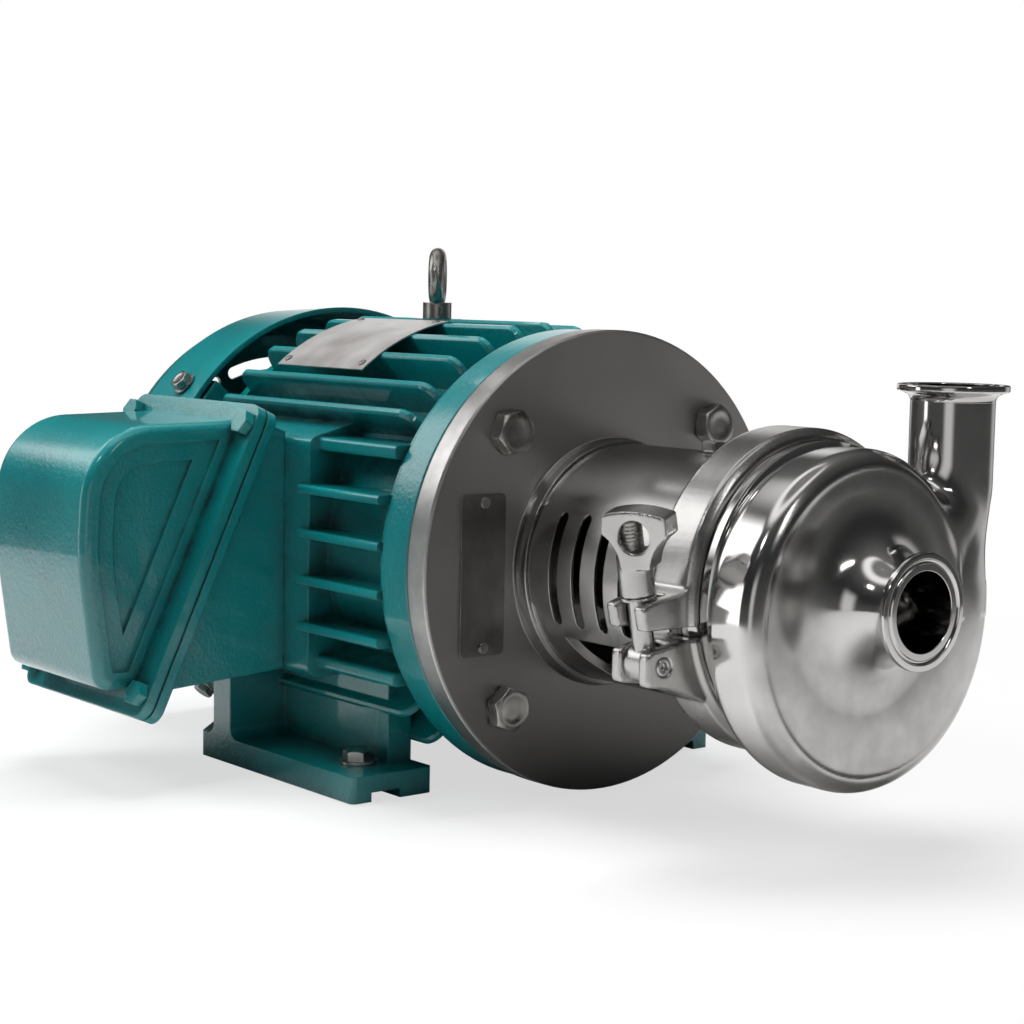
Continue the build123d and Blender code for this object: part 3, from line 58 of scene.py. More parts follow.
# Camera and lamps
cameraFit = {
    "place": (0.91435, -0.6976, 0.2444), "azimuth": 50.88, "lookDown": 5.82, "roll": 1.01, "lens": 76.1,
    "sensor": 36, "clip": (0.01, 30),
}
lampPlan = {
    "keyPanel": {"place": (-0.9, -1.2, 1.35), "size": (0.7, 0.7), "watts": 19},
    "topPanel": {"place": (-0.1, 0.0, 1.6), "size": (1.0, 0.8), "watts": 33},
    "sidePanel": {"place": (1.7, -0.1, 0.75), "size": (0.5, 1.0), "watts": 1.5},
}
aimPoint = np.array([0.06, 0.0, 0.13])


def placed(thing, side, top, back, place):
    matrix = np.eye(4)
    matrix[:3, 0], matrix[:3, 1], matrix[:3, 2], matrix[:3, 3] = side, top, back, place
    thing.matrix_world = Matrix(matrix.tolist())
    scene.collection.objects.link(thing)


def fittedCamera(fit):  # looks back along (azimuth from -Y, look-down), then rolls about that line
    azimuth, down, roll = (math.radians(fit[key]) for key in ("azimuth", "lookDown", "roll"))
    level = math.cos(down)
    back = np.array([math.sin(azimuth) * level, -math.cos(azimuth) * level, math.sin(down)])
    right = np.array([math.cos(azimuth), math.sin(azimuth), 0])
    up = np.cross(back, right)
    data = bpy.data.cameras.new("camera")
    data.lens, data.sensor_width = fit["lens"], fit["sensor"]
    data.clip_start, data.clip_end = fit["clip"]
    camera = bpy.data.objects.new("camera", data)
    side = math.cos(roll) * right + math.sin(roll) * up
    top = -math.sin(roll) * right + math.cos(roll) * up
    placed(camera, side, top, back, fit["place"])
    scene.camera = camera


def areaLamp(name, plan):
    data = bpy.data.lights.new(name, "AREA")
    data.shape, data.size, data.size_y = "RECTANGLE", *plan["size"]
    data.energy = plan["watts"]
    lamp = bpy.data.objects.new(name, data)
    back = np.array(plan["place"]) - aimPoint
    back /= np.linalg.norm(back)
    side = np.cross((0, 0, 1), back)
    side /= np.linalg.norm(side)
    placed(lamp, side, np.cross(back, side), back, plan["place"])
    lamp.visible_glossy = False  # what shines in the metal and the paint is the room's windows


fittedCamera(cameraFit)
for lampName, plan in lampPlan.items():
    areaLamp(lampName, plan)


# Surfaces on grids of points
def shell(grid, ringed=True, capped=True, looped=False):
    # Quads between neighbours of a (rows, columns, 3) grid. ringed joins the last column to the first,
    # looped the last row to the first, and capped closes both end rows with fans about their mean points.
    # The faces of a closed shell are turned outwards by the sign of its volume.
    rows, columns = grid.shape[:2]
    index = np.arange(rows * columns).reshape(rows, columns)
    if ringed:
        index = np.hstack([index, index[:, :1]])
    if looped:
        index = np.vstack([index, index[:1]])
    faces = np.stack([index[:-1, :-1], index[:-1, 1:], index[1:, 1:], index[1:, :-1]], -1).reshape(-1, 4)
    points = grid.reshape(-1, 3)
    faces = np.vstack([faces[:, [0, 1, 2]], faces[:, [0, 2, 3]]]) if capped and not looped else faces
    if capped and not looped:
        first = np.full(index.shape[1] - 1, rows * columns)
        faces = np.vstack([
            faces,
            np.stack([first, index[0, 1:], index[0, :-1]], -1),
            np.stack([first + 1, index[-1, :-1], index[-1, 1:]], -1),
        ])
        points = np.vstack([points, grid[0].mean(0), grid[-1].mean(0)])
    if ringed and (capped or looped):
        corners = points[faces]
        volume = np.einsum("ij,ij->i", corners[:, 0], np.cross(corners[:, 1], corners[:, 2])).sum()
        if faces.shape[1] == 4:
            volume += np.einsum("ij,ij->i", corners[:, 0], np.cross(corners[:, 2], corners[:, 3])).sum()
        faces = faces[:, ::-1] if volume < 0 else faces
    return points, faces


def pieceOf(name, shells, material, smooth=True, sharpFrom=38):
    # One mesh object from several shells, shaded smooth but for edges sharper than an angle in degrees.
    points, faces, start = [], [], 0
    for shellPoints, shellFaces in shells:
        points.append(shellPoints)
        faces += (shellFaces + start).tolist()
        start += len(shellPoints)
    mesh = bpy.data.meshes.new(name)
    mesh.from_pydata(np.vstack(points).tolist(), [], faces)
    mesh.validate()
    if smooth:
        mesh.shade_smooth()
        mesh.set_sharp_from_angle(angle=math.radians(sharpFrom))
    mesh.materials.append(material)
    piece = bpy.data.objects.new(name, mesh)
    scene.collection.objects.link(piece)
    return piece


def onCarrier(piece, body, slotName, *replaced):
    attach(piece, body)
    if replaced:
        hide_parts(*replaced)
    return piece


def axesAlong(axis, turn=0.0):
    # Three unit vectors: two across the axis, turned about it by an angle in degrees, and the axis itself.
    axis = np.array(axis, float) / np.linalg.norm(axis)
    start = np.array([1.0, 0, 0]) if abs(axis[0]) < 0.9 else np.array([0, 1.0, 0])
    side = start - axis * start.dot(axis)
    side /= np.linalg.norm(side)
    top = np.cross(axis, side)
    turn = math.radians(turn)
    return math.cos(turn) * side + math.sin(turn) * top, math.cos(turn) * top - math.sin(turn) * side, axis


def aboutAxis(radii, along, place, axis, turn=0.0):
    # Rows of points: place + radius * (cos, sin) across the axis + along * axis. radii and along are arrays
    # with one row for each ring, and one column, or one for each angle.
    side, top, axis = axesAlong(axis, turn)
    angle = np.linspace(0, 2 * math.pi, radii.shape[1] if radii.shape[1] > 1 else 48, endpoint=False)
    across = radii * np.cos(angle), radii * np.sin(angle)
    along = along + 0 * across[0]
    return place + across[0][..., None] * side + across[1][..., None] * top + along[..., None] * axis


def turnedShell(outline, place, axis, sides=48):
    # A closed solid of revolution from its (radius, along) outline.
    outline = np.array(outline, float)
    return shell(aboutAxis(outline[:, :1] + np.zeros(sides), outline[:, 1:], np.array(place), axis))


def easing(share):  # 0 to 1 along a smooth step
    share = np.clip(share, 0, 1)
    return share * share * (3 - 2 * share)


# Node helpers
def addNode(tree, kind, settings=None, links=None):
    # A node with settings by attribute or input name, and links from other nodes' sockets.
    node = tree.nodes.new("ShaderNode" + kind)
    for key, value in (settings or {}).items():
        if isinstance(key, str) and hasattr(node, key) and key not in node.inputs:
            setattr(node, key, value)
        else:
            node.inputs[key].default_value = value
    for key, socket in (links or {}).items():
        tree.links.new(socket, node.inputs[key])
    return node


def maths(tree, operation, first, second=None, third=None):
    # A Math node whose inputs are sockets or plain numbers.
    node = tree.nodes.new("ShaderNodeMath")
    node.operation = operation
    for index, value in enumerate((first, second, third)):
        if isinstance(value, (int, float)):
            node.inputs[index].default_value = value
        elif value is not None:
            tree.links.new(value, node.inputs[index])
    return node.outputs[0]


def mapped(tree, value, fromLow, fromHigh, toLow=0.0, toHigh=1.0, smooth=False):
    kind = "SMOOTHSTEP" if smooth else "LINEAR"
    span = {"From Min": fromLow, "From Max": fromHigh, "To Min": toLow, "To Max": toHigh}
    return addNode(tree, "MapRange", {"interpolation_type": kind, **span}, {"Value": value}).outputs[0]


def blended(tree, share, first, second):
    # A colour mix whose inputs are sockets or plain colours.
    node = tree.nodes.new("ShaderNodeMix")
    node.data_type = "RGBA"
    for key, value in ((0, share), (6, first), (7, second)):
        if isinstance(value, (tuple, float)):
            node.inputs[key].default_value = value
        else:
            tree.links.new(value, node.inputs[key])
    return node.outputs[2]


def seenDirectly(tree):  # 1 for camera, glossy and transmission rays
    rays = tree.nodes.new("ShaderNodeLightPath")
    first = maths(tree, "MAXIMUM", rays.outputs["Is Camera Ray"], rays.outputs["Is Glossy Ray"])
    return maths(tree, "MAXIMUM", first, rays.outputs["Is Transmission Ray"])


# World: white for what the camera, metal and glass see, and soft for the light on the object
worldPlan = {"soft": 0.11, "seen": 1.0}


def makeWorld():
    world = bpy.data.worlds.new("studio")
    scene.world = world
    world.use_nodes = True
    tree = world.node_tree
    tree.nodes.clear()
    soft = addNode(tree, "Background", {"Color": (1, 1, 1, 1), "Strength": worldPlan["soft"]})
    white = addNode(tree, "Background", {"Color": (1, 1, 1, 1), "Strength": worldPlan["seen"]})
    mix = addNode(tree, "MixShader", {}, {0: seenDirectly(tree), 1: soft.outputs[0], 2: white.outputs[0]})
    out = tree.nodes.new("ShaderNodeOutputWorld")
    tree.links.new(mix.outputs[0], out.inputs["Surface"])


makeWorld()

# Shared effects: node groups that put out masks, colours, values and normals
effectSpans = {  # the span of each measured value that a mask runs over
    "edgeTurn": (0.985, 0.86), "edgeSpots": (0.42, 0.6), "tone": (0.32, 0.68), "closeness": (0.85, 0.35),
    "dustPatches": (0.3, 0.6), "specks": (0.66, 0.74), "grain": (0.3, 0.7),
}


def effectGroup(name, inputs, outputs):
    tree = bpy.data.node_groups.new(name, "ShaderNodeTree")
    kinds = {"value": "NodeSocketFloat", "color": "NodeSocketColor", "vector": "NodeSocketVector"}
    for socketName, kind, default in inputs:
        socket = tree.interface.new_socket(socketName, in_out="INPUT", socket_type=kinds[kind])
        socket.default_value = default
    for socketName, kind in outputs:
        tree.interface.new_socket(socketName, in_out="OUTPUT", socket_type=kinds[kind])
    return tree, tree.nodes.new("NodeGroupInput"), tree.nodes.new("NodeGroupOutput")


def noise(tree, scale, detail=3.0, roughness=0.55):
    # Noise on object coordinates; scale is a number or a socket.
    place = tree.nodes.new("ShaderNodeTexCoord")
    links = {"Vector": place.outputs["Object"]}
    settings = {"Detail": detail, "Roughness": roughness}
    if isinstance(scale, float):
        settings["Scale"] = scale
    else:
        links["Scale"] = scale
    return addNode(tree, "TexNoise", settings, links).outputs["Fac"]


def makeRoundedEdge():
    # Softens sharp edges in the normal, and marks them: 1 less the dot of the soft and the true normal.
    tree, start, end = effectGroup(
        "roundedEdge",
        [("Radius", "value", 0.0012), ("Wear", "value", 0.4), ("Breakup", "value", 220.0)],
        [("Mask", "value"), ("Normal", "vector")],
    )
    soft = addNode(tree, "Bevel", {"samples": 6}, {"Radius": start.outputs["Radius"]})
    true = tree.nodes.new("ShaderNodeNewGeometry")
    links = {0: soft.outputs[0], 1: true.outputs["Normal"]}
    dot = addNode(tree, "VectorMath", {"operation": "DOT_PRODUCT"}, links)
    edge = mapped(tree, dot.outputs["Value"], *effectSpans["edgeTurn"])
    spots = mapped(tree, noise(tree, start.outputs["Breakup"], 4.0, 0.65), *effectSpans["edgeSpots"])
    worn = maths(tree, "MULTIPLY", maths(tree, "MULTIPLY", edge, spots), start.outputs["Wear"])
    tree.links.new(worn, end.inputs["Mask"])
    tree.links.new(soft.outputs[0], end.inputs["Normal"])
    return tree


def makeDriftingTone():
    # Slow colour drift: noise between a darker and a lighter tone of one colour.
    tree, start, end = effectGroup(
        "driftingTone",
        [("Dark", "color", (0, 0, 0, 1)), ("Light", "color", (1, 1, 1, 1)), ("Scale", "value", 12.0)],
        [("Color", "color"), ("Value", "value")],
    )
    spread = mapped(tree, noise(tree, start.outputs["Scale"]), *effectSpans["tone"])
    tone = blended(tree, spread, start.outputs["Dark"], start.outputs["Light"])
    tree.links.new(tone, end.inputs["Color"])
    tree.links.new(spread, end.inputs["Value"])
    return tree


def makeCreviceShadeAndDust():
    # Painted shade, with dust, where surfaces face each other closely: how closed a point is over a short
    # reach, in patches.
    tree, start, end = effectGroup(
        "creviceShadeAndDust", [("Reach", "value", 0.012), ("Amount", "value", 0.6)], [("Mask", "value")],
    )
    openness = addNode(tree, "AmbientOcclusion", {"samples": 4}, {"Distance": start.outputs["Reach"]})
    closed = mapped(tree, openness.outputs["AO"], *effectSpans["closeness"])
    uneven = mapped(tree, noise(tree, 60.0), *effectSpans["dustPatches"])
    shadeAndDirt = maths(tree, "MULTIPLY", maths(tree, "MULTIPLY", closed, uneven), start.outputs["Amount"])
    tree.links.new(shadeAndDirt, end.inputs["Mask"])
    return tree


def makeCastSkin():
    # Height of enamel over a cast surface: fine orange peel over slow waviness.
    tree, start, end = effectGroup(
        "castSkin",
        [("Peel", "value", 520.0), ("Waves", "value", 60.0), ("Balance", "value", 0.5)],
        [("Height", "value")],
    )
    peel = noise(tree, start.outputs["Peel"], 2.0, 0.5)
    waves = noise(tree, start.outputs["Waves"], 2.0, 0.5)
    links = {0: start.outputs["Balance"], 2: waves, 3: peel}
    height = addNode(tree, "Mix", {"data_type": "FLOAT"}, links)
    tree.links.new(height.outputs[0], end.inputs["Height"])
    return tree


def makeShaftPlace():
    # Where a point is about the shaft: its distance from the shaft's axis and its angle round it.
    tree, start, end = effectGroup(
        "shaftPlace",
        [("Height", "value", shaftHeight)],
        [("Radius", "value"), ("Angle", "value"), ("Along", "value")],
    )
    place = tree.nodes.new("ShaderNodeTexCoord")
    parts = addNode(tree, "SeparateXYZ", {}, {0: place.outputs["Object"]})
    up = maths(tree, "SUBTRACT", parts.outputs["Z"], start.outputs["Height"])
    across = parts.outputs["Y"]
    square = maths(tree, "ADD", maths(tree, "MULTIPLY", up, up), maths(tree, "MULTIPLY", across, across))
    tree.links.new(maths(tree, "SQRT", square), end.inputs["Radius"])
    tree.links.new(maths(tree, "ARCTAN2", across, up), end.inputs["Angle"])
    tree.links.new(parts.outputs["X"], end.inputs["Along"])
    return tree


def makeTurnedLines():
    # Fine circular tool marks about the shaft: noise read at (radius, place along it), stretched round it.
    tree, start, end = effectGroup(
        "turnedLines", [("Fineness", "value", 2500.0), ("Blur", "value", 2.0)], [("Height", "value")],
    )
    shaft = useGroup(tree, shaftPlace)
    fine = maths(tree, "MULTIPLY", shaft.outputs["Radius"], start.outputs["Fineness"])
    fineX = maths(tree, "MULTIPLY", shaft.outputs["Along"], start.outputs["Fineness"])
    slow = maths(tree, "MULTIPLY", shaft.outputs["Angle"], start.outputs["Blur"])
    spot = addNode(tree, "CombineXYZ", {}, {0: fine, 1: fineX, 2: slow})
    lines = addNode(tree, "TexNoise", {"Scale": 1.0, "Detail": 2.0}, {"Vector": spot.outputs[0]})
    tree.links.new(lines.outputs["Fac"], end.inputs["Height"])
    return tree


def useGroup(tree, group, settings=None):
    node = tree.nodes.new("ShaderNodeGroup")
    node.node_tree = group
    for key, value in (settings or {}).items():
        node.inputs[key].default_value = value
    return node


roundedEdge = makeRoundedEdge()
driftingTone = makeDriftingTone()
creviceShadeAndDust = makeCreviceShadeAndDust()
castSkin = makeCastSkin()
shaftPlace = makeShaftPlace()
turnedLines = makeTurnedLines()
print("shared effects ready")


# Materials
metalGrain = {"breakup": 90.0, "blur": 3.0, "waves": 120.0, "balance": 0.8, "depth": 0.0002, "metal": 1.0}
mouldedGrain = {"driftScale": 30.0, "waves": 200.0, "balance": 0.7, "depth": 0.0002}
zoneGrain = (0.82, 1.08)  # a zone's tone runs between these shares of itself


def blankMaterial(name):
    material = bpy.data.materials.new(name)
    material.use_nodes = True
    tree = material.node_tree
    return material, tree, tree.nodes["Principled BSDF"]


def bumped(tree, shader, height, strength, distance, normal=None):
    links = {"Height": height}
    if normal:
        links["Normal"] = normal
    bump = addNode(tree, "Bump", {"Strength": strength, "Distance": distance}, links)
    tree.links.new(bump.outputs[0], shader.inputs["Normal"])


def wornEdge(tree, look):
    settings = {"Radius": look["edgeRadius"], "Wear": look["wear"], "Breakup": look["breakup"]}
    return useGroup(tree, roundedEdge, settings)


def toneOf(tree, look):
    settings = {"Dark": look["dark"], "Light": look["light"], "Scale": look["driftScale"]}
    return useGroup(tree, driftingTone, settings)


def grainOf(tree, look):
    settings = {"Peel": look["fine"], "Waves": look["waves"], "Balance": look["balance"]}
    return useGroup(tree, castSkin, settings)


def enamel(name, look):
    # Gloss paint on cast iron: drifting tone, painted shade with dust in the crevices, overspray, thin edges
    # and orange peel.
    # Within a radius about the shaft it may give way to a nearly black tone: painted shade on the machined
    # face inside the adapter.
    material, tree, shader = blankMaterial(name)
    edge = wornEdge(tree, look)
    tone = toneOf(tree, look)
    shadeAndDust = useGroup(tree, creviceShadeAndDust, {"Reach": look["reach"], "Amount": look["shadeAndDust"]})
    skin = grainOf(tree, look)
    # Painted shade: the crevices darken to a deeper teal, in dust patches.
    crevicesShaded = blended(tree, shadeAndDust.outputs["Mask"], tone.outputs["Color"], look["shadeAndDirt"])
    thin = blended(tree, edge.outputs["Mask"], crevicesShaded, look["chip"])
    specks = mapped(tree, noise(tree, look["specks"], 5.0, 0.7), *effectSpans["specks"])
    speckled = blended(tree, maths(tree, "MULTIPLY", specks, look["sprayShare"]), thin, look["overspray"])
    # Painted shade: inside the radius the paint gives way to nearly black.
    if "paintedShadeInside" in look:
        radius = useGroup(tree, shaftPlace).outputs["Radius"]
        inside = mapped(tree, radius, *look["paintedShadeInside"])
        speckled = blended(tree, inside, speckled, look["paintedShadeTone"])
    tree.links.new(speckled, shader.inputs["Base Color"])
    gloss = mapped(tree, tone.outputs["Value"], 0, 1, *look["rough"])
    duller = maths(tree, "MULTIPLY_ADD", shadeAndDust.outputs["Mask"], look["dustDulls"], gloss)
    tree.links.new(duller, shader.inputs["Roughness"])
    bumped(tree, shader, skin.outputs["Height"], look["bump"], look["depth"], edge.outputs["Normal"])
    shader.inputs["Coat Weight"].default_value, shader.inputs["Coat Roughness"].default_value = look["coat"]
    shader.inputs["IOR"].default_value = 1.5
    return material


def metalBasis(name, look):
    # Steel with rounded, brighter worn edges, drifting tone and smudges, before its base colour is linked.
    material, tree, shader = blankMaterial(name)
    look = dict(metalGrain, **look)
    edge = wornEdge(tree, look)
    tone = toneOf(tree, look)
    bright = blended(tree, edge.outputs["Mask"], tone.outputs["Color"], look["edgeTone"])
    if look["marks"] == "turned":
        marks = useGroup(tree, turnedLines, {"Fineness": look["fine"], "Blur": look["blur"]})
    else:
        marks = grainOf(tree, look)
    smudge = mapped(tree, tone.outputs["Value"], 0, 1, *look["rough"])
    bumped(tree, shader, marks.outputs["Height"], look["bump"], look["depth"], edge.outputs["Normal"])
    shader.inputs["Metallic"].default_value = look["metal"]
    return material, tree, shader, bright, smudge


def bareMetal(name, look):
    material, tree, shader, bright, smudge = metalBasis(name, look)
    tree.links.new(bright, shader.inputs["Base Color"])
    tree.links.new(smudge, shader.inputs["Roughness"])
    return material


def zonedMetal(name, look, zones):
    # Bare metal that may carry painted shade, darker near the floor and lighter higher up, and whose tone and
    # roughness
    # change in zones: each zone is a span of radius and of place along the shaft, with soft ends, a tone and
    # a roughness of its own.
    material, tree, shader, tone, rough = metalBasis(name, look)
    shaft = useGroup(tree, shaftPlace)
    # Painted shade and light: the tone is scaled with height, darker near the floor and brighter higher up.
    if "paintedLightAndShade" in look:
        height = tree.nodes.new("ShaderNodeTexCoord").outputs["Object"]
        height = addNode(tree, "SeparateXYZ", {}, {0: height}).outputs["Z"]
        paintedLightAndShade = mapped(tree, height, *look["paintedLightAndShadeSpan"], *look["paintedLightAndShade"])
        tone = addNode(tree, "VectorMath", {"operation": "SCALE"}, {0: tone, "Scale": paintedLightAndShade}).outputs[0]
    for zone in zones:
        masks = []
        for key, socket in (("radius", "Radius"), ("along", "Along")):
            low, high = zone[key]
            soft = zone["soft"]
            above = mapped(tree, shaft.outputs[socket], low - soft, low + soft, smooth=True)
            below = mapped(tree, shaft.outputs[socket], high + soft, high - soft, smooth=True)
            masks += [above, below]
        mask = masks[0]
        for other in masks[1:]:
            mask = maths(tree, "MULTIPLY", mask, other)
        grain = mapped(tree, noise(tree, zone["grain"]), *effectSpans["grain"], *zoneGrain)
        zoneTone = addNode(tree, "VectorMath", {"operation": "SCALE", 0: zone["tone"][:3]}, {"Scale": grain})
        tone = blended(tree, mask, tone, zoneTone.outputs[0])
        roughMix = addNode(tree, "Mix", {"data_type": "FLOAT", 3: zone["rough"]}, {0: mask, 2: rough})
        rough = roughMix.outputs[0]
    tree.links.new(tone, shader.inputs["Base Color"])
    tree.links.new(rough, shader.inputs["Roughness"])
    return material


def moulded(name, look):
    # Rubber, plastic, varnish or ceramic: drifting tone over a fine grain.
    material, tree, shader = blankMaterial(name)
    look = dict(mouldedGrain, **look)
    tone = toneOf(tree, look)
    tree.links.new(tone.outputs["Color"], shader.inputs["Base Color"])
    grain = grainOf(tree, look)
    bumped(tree, shader, grain.outputs["Height"], look["bump"], look["depth"])
    tree.links.new(mapped(tree, tone.outputs["Value"], 0, 1, *look["rough"]), shader.inputs["Roughness"])
    return material


# The teal's crevice colour is painted shade, a deeper teal.
tealLook = {
    "dark": (0.0, 0.135, 0.148, 1), "light": (0.0, 0.21, 0.218, 1), "shadeAndDirt": (0.002, 0.02, 0.022, 1),
    "chip": (0.03, 0.3, 0.31, 1), "overspray": (0.16, 0.36, 0.36, 1), "specks": 420.0, "sprayShare": 0.35,
    "driftScale": 9.0, "edgeRadius": 0.0018, "wear": 0.3, "breakup": 160.0, "shadeAndDust": 0.8, "reach": 0.014,
    "dustDulls": 0.35, "fine": 560.0, "waves": 90.0, "balance": 0.45, "bump": 0.9, "depth": 0.00075,
    "rough": (0.26, 0.38), "coat": (0.75, 0.05),
}
# The flange's tone is scaled with height: painted shade low down and painted light higher up.
flangeLook = {
    "dark": (0.3, 0.29, 0.284, 1), "light": (0.38, 0.37, 0.362, 1), "edgeTone": (0.5, 0.5, 0.49, 1),
    "edgeRadius": 0.0008, "wear": 0.7, "driftScale": 8.0, "paintedLightAndShade": (0.28, 1.5), "paintedLightAndShadeSpan": (0.01, 0.21),
    "marks": "grain", "fine": 1500.0, "bump": 0.12, "rough": (0.42, 0.5),
}
flangeZones = [
    {"radius": (0.1119, 1), "along": (0, flangeFace - 0.0006), "soft": 0.0002, "tone": (0.5, 0.49, 0.48, 1),
     "rough": 0.34, "grain": 90.0},
    {"radius": (0, 0.0645), "along": (flangeFace + 0.0004, 1), "soft": 0.0004, "tone": (0.4, 0.39, 0.38, 1),
     "rough": 0.2, "grain": 40.0},
]
polishedLook = {
    "dark": (0.52, 0.51, 0.5, 1), "light": (0.66, 0.65, 0.64, 1), "edgeTone": (0.85, 0.85, 0.84, 1),
    "edgeRadius": 0.0006, "wear": 0.2, "driftScale": 10.0, "marks": "grain", "fine": 500.0, "bump": 0.02,
    "rough": (0.09, 0.15),
}
polishedZones = [
    {"radius": (0.031, 1), "along": (0.297, 0.312), "soft": 0.004, "tone": (0.52, 0.51, 0.5, 1), "rough": 0.2,
     "grain": 60.0},
]
clampLook = {
    "dark": (0.4, 0.39, 0.38, 1), "light": (0.54, 0.53, 0.52, 1), "edgeTone": (0.85, 0.85, 0.84, 1),
    "edgeRadius": 0.0011, "wear": 0.8, "driftScale": 25.0, "marks": "grain", "fine": 1100.0, "bump": 0.24,
    "rough": (0.2, 0.3),
}
guardLook = dict(
    polishedLook, dark=(0.36, 0.35, 0.34, 1), light=(0.5, 0.49, 0.48, 1), rough=(0.2, 0.28), bump=0.04,
    marks="turned", fine=1800.0,
)
zincLook = {
    "dark": (0.27, 0.26, 0.24, 1), "light": (0.42, 0.41, 0.39, 1), "edgeTone": (0.75, 0.74, 0.72, 1),
    "edgeRadius": 0.0006, "wear": 0.9, "driftScale": 90.0, "marks": "grain", "fine": 1600.0, "bump": 0.25,
    "rough": (0.24, 0.4),
}
plateLook = {
    "dark": (0.34, 0.325, 0.315, 1), "light": (0.5, 0.485, 0.475, 1), "edgeTone": (0.6, 0.6, 0.59, 1),
    "metal": 0.5, "edgeRadius": 0.0004, "wear": 0.6, "driftScale": 45.0, "marks": "grain", "fine": 2200.0,
    "bump": 0.08, "rough": (0.3, 0.42),
}
labelLook = dict(
    plateLook, dark=(0.11, 0.106, 0.103, 1), light=(0.17, 0.165, 0.16, 1), rough=(0.3, 0.4), metal=0.8,
)
# Polished steel made dark for the parts inside the casing: painted shade.
paintedShadeInsideLook = dict(polishedLook, dark=(0.1, 0.098, 0.095, 1), light=(0.16, 0.157, 0.153, 1))
shaftLook = dict(clampLook, marks="turned", fine=2600.0, rough=(0.2, 0.28))
laminationLook = dict(
    flangeLook, dark=(0.12, 0.12, 0.13, 1), light=(0.2, 0.2, 0.21, 1), marks="turned", fine=2000.0,
)
# The bracket's face inside the adapter is nearly black: painted shade.
bracketLook = dict(tealLook, paintedShadeInside=(0.08, 0.0795), paintedShadeTone=(0.012, 0.011, 0.01, 1))
mouldedKeys = ("dark", "light", "fine", "bump", "rough")
mouldedLooks = {
    "rustyIron": ((0.03, 0.018, 0.012, 1), (0.2, 0.15, 0.11, 1), 500.0, 0.6, (0.6, 0.8)),
    "blackRubber": ((0.012, 0.012, 0.012, 1), (0.03, 0.03, 0.03, 1), 900.0, 0.2, (0.55, 0.75)),
    "blackPlastic": ((0.015, 0.015, 0.015, 1), (0.03, 0.03, 0.032, 1), 700.0, 0.12, (0.35, 0.5)),
    "varnishedCopper": ((0.3, 0.09, 0.03, 1), (0.48, 0.17, 0.06, 1), 400.0, 0.5, (0.25, 0.4)),
    "sealCarbon": ((0.02, 0.02, 0.02, 1), (0.05, 0.05, 0.05, 1), 900.0, 0.05, (0.2, 0.3)),
    "sealCeramic": ((0.62, 0.6, 0.55, 1), (0.75, 0.73, 0.69, 1), 900.0, 0.04, (0.15, 0.25)),
}

teal = enamel("tealEnamel", tealLook)
bracketTeal = enamel("bracketTeal", bracketLook)
flangeSteel = zonedMetal("flangeSteel", flangeLook, flangeZones)
polishedSteel = bareMetal("polishedSteel", polishedLook)
polishedSkin = zonedMetal("polishedSkin", dict(polishedLook, edgeRadius=0.0), polishedZones)
polishedRims = bareMetal("polishedRims", dict(polishedLook, edgeRadius=0.0003, rough=(0.07, 0.12)))
paintedShadeInsideSteel = bareMetal("paintedShadeInsideSteel", paintedShadeInsideLook)
clampSteel = bareMetal("clampSteel", clampLook)
guardSteel = bareMetal("guardSteel", guardLook)
zincSteel = bareMetal("zincSteel", zincLook)
plateMetal = bareMetal("plateMetal", plateLook)
labelMetal = bareMetal("labelMetal", labelLook)
shaftSteel = bareMetal("shaftSteel", shaftLook)
laminations = bareMetal("laminations", laminationLook)
mouldedStuff = {
    name: moulded(name, dict(zip(mouldedKeys, values))) for name, values in mouldedLooks.items()
}

wearing = {
    bracketTeal: ["drive_end_bracket"],
    teal: ["motor_frame", "rear_end_bracket", "fan_cowl", "terminal_box_base",
           "terminal_box_cover", "terminal_box_screws"],
    flangeSteel: ["adapter"],
    polishedSteel: ["casing", "discharge_tube"],
    # The impeller, its nut and the backplate wear painted shade: dark steel for the shade inside the casing.
    paintedShadeInsideSteel: ["impeller", "impeller_nut", "backplate"],
    guardSteel: ["guard"],
    clampSteel: ["clamp_upper_half", "clamp_lower_half", "clamp_hinge_pin", "swing_bolt", "swing_bolt_pin",
                 "thrust_washer", "wing_nut"],
    zincSteel: ["cowl_screws", "eye_bolt", "adapter_bolts", "guard_bolt", "adapter_plate_screws",
                "nameplate_rivets"],
    plateMetal: ["motor_nameplate"],
    labelMetal: ["adapter_plate"],
    shaftSteel: ["motor_shaft", "shaft_key", "bearing_inner_rings", "bearing_outer_rings", "bearing_balls",
                 "stub_shaft"],
    laminations: ["stator_core", "rotor_core"],
    mouldedStuff["varnishedCopper"]: ["stator_windings"],
    mouldedStuff["blackRubber"]: ["terminal_box_gasket", "casing_o_ring"],
    mouldedStuff["blackPlastic"]: ["terminal_block", "cooling_fan"],
    mouldedStuff["sealCarbon"]: ["seal_face_ring"],
    mouldedStuff["sealCeramic"]: ["seal_seat"],
}
for material, names in wearing.items():
    for name in names:
        slots = nodes[name].data.materials
        slots.clear()
        slots.append(material)
bare = sorted(set(nodes) - {name for names in wearing.values() for name in names})
print("materials on every node; none left out:", bare)

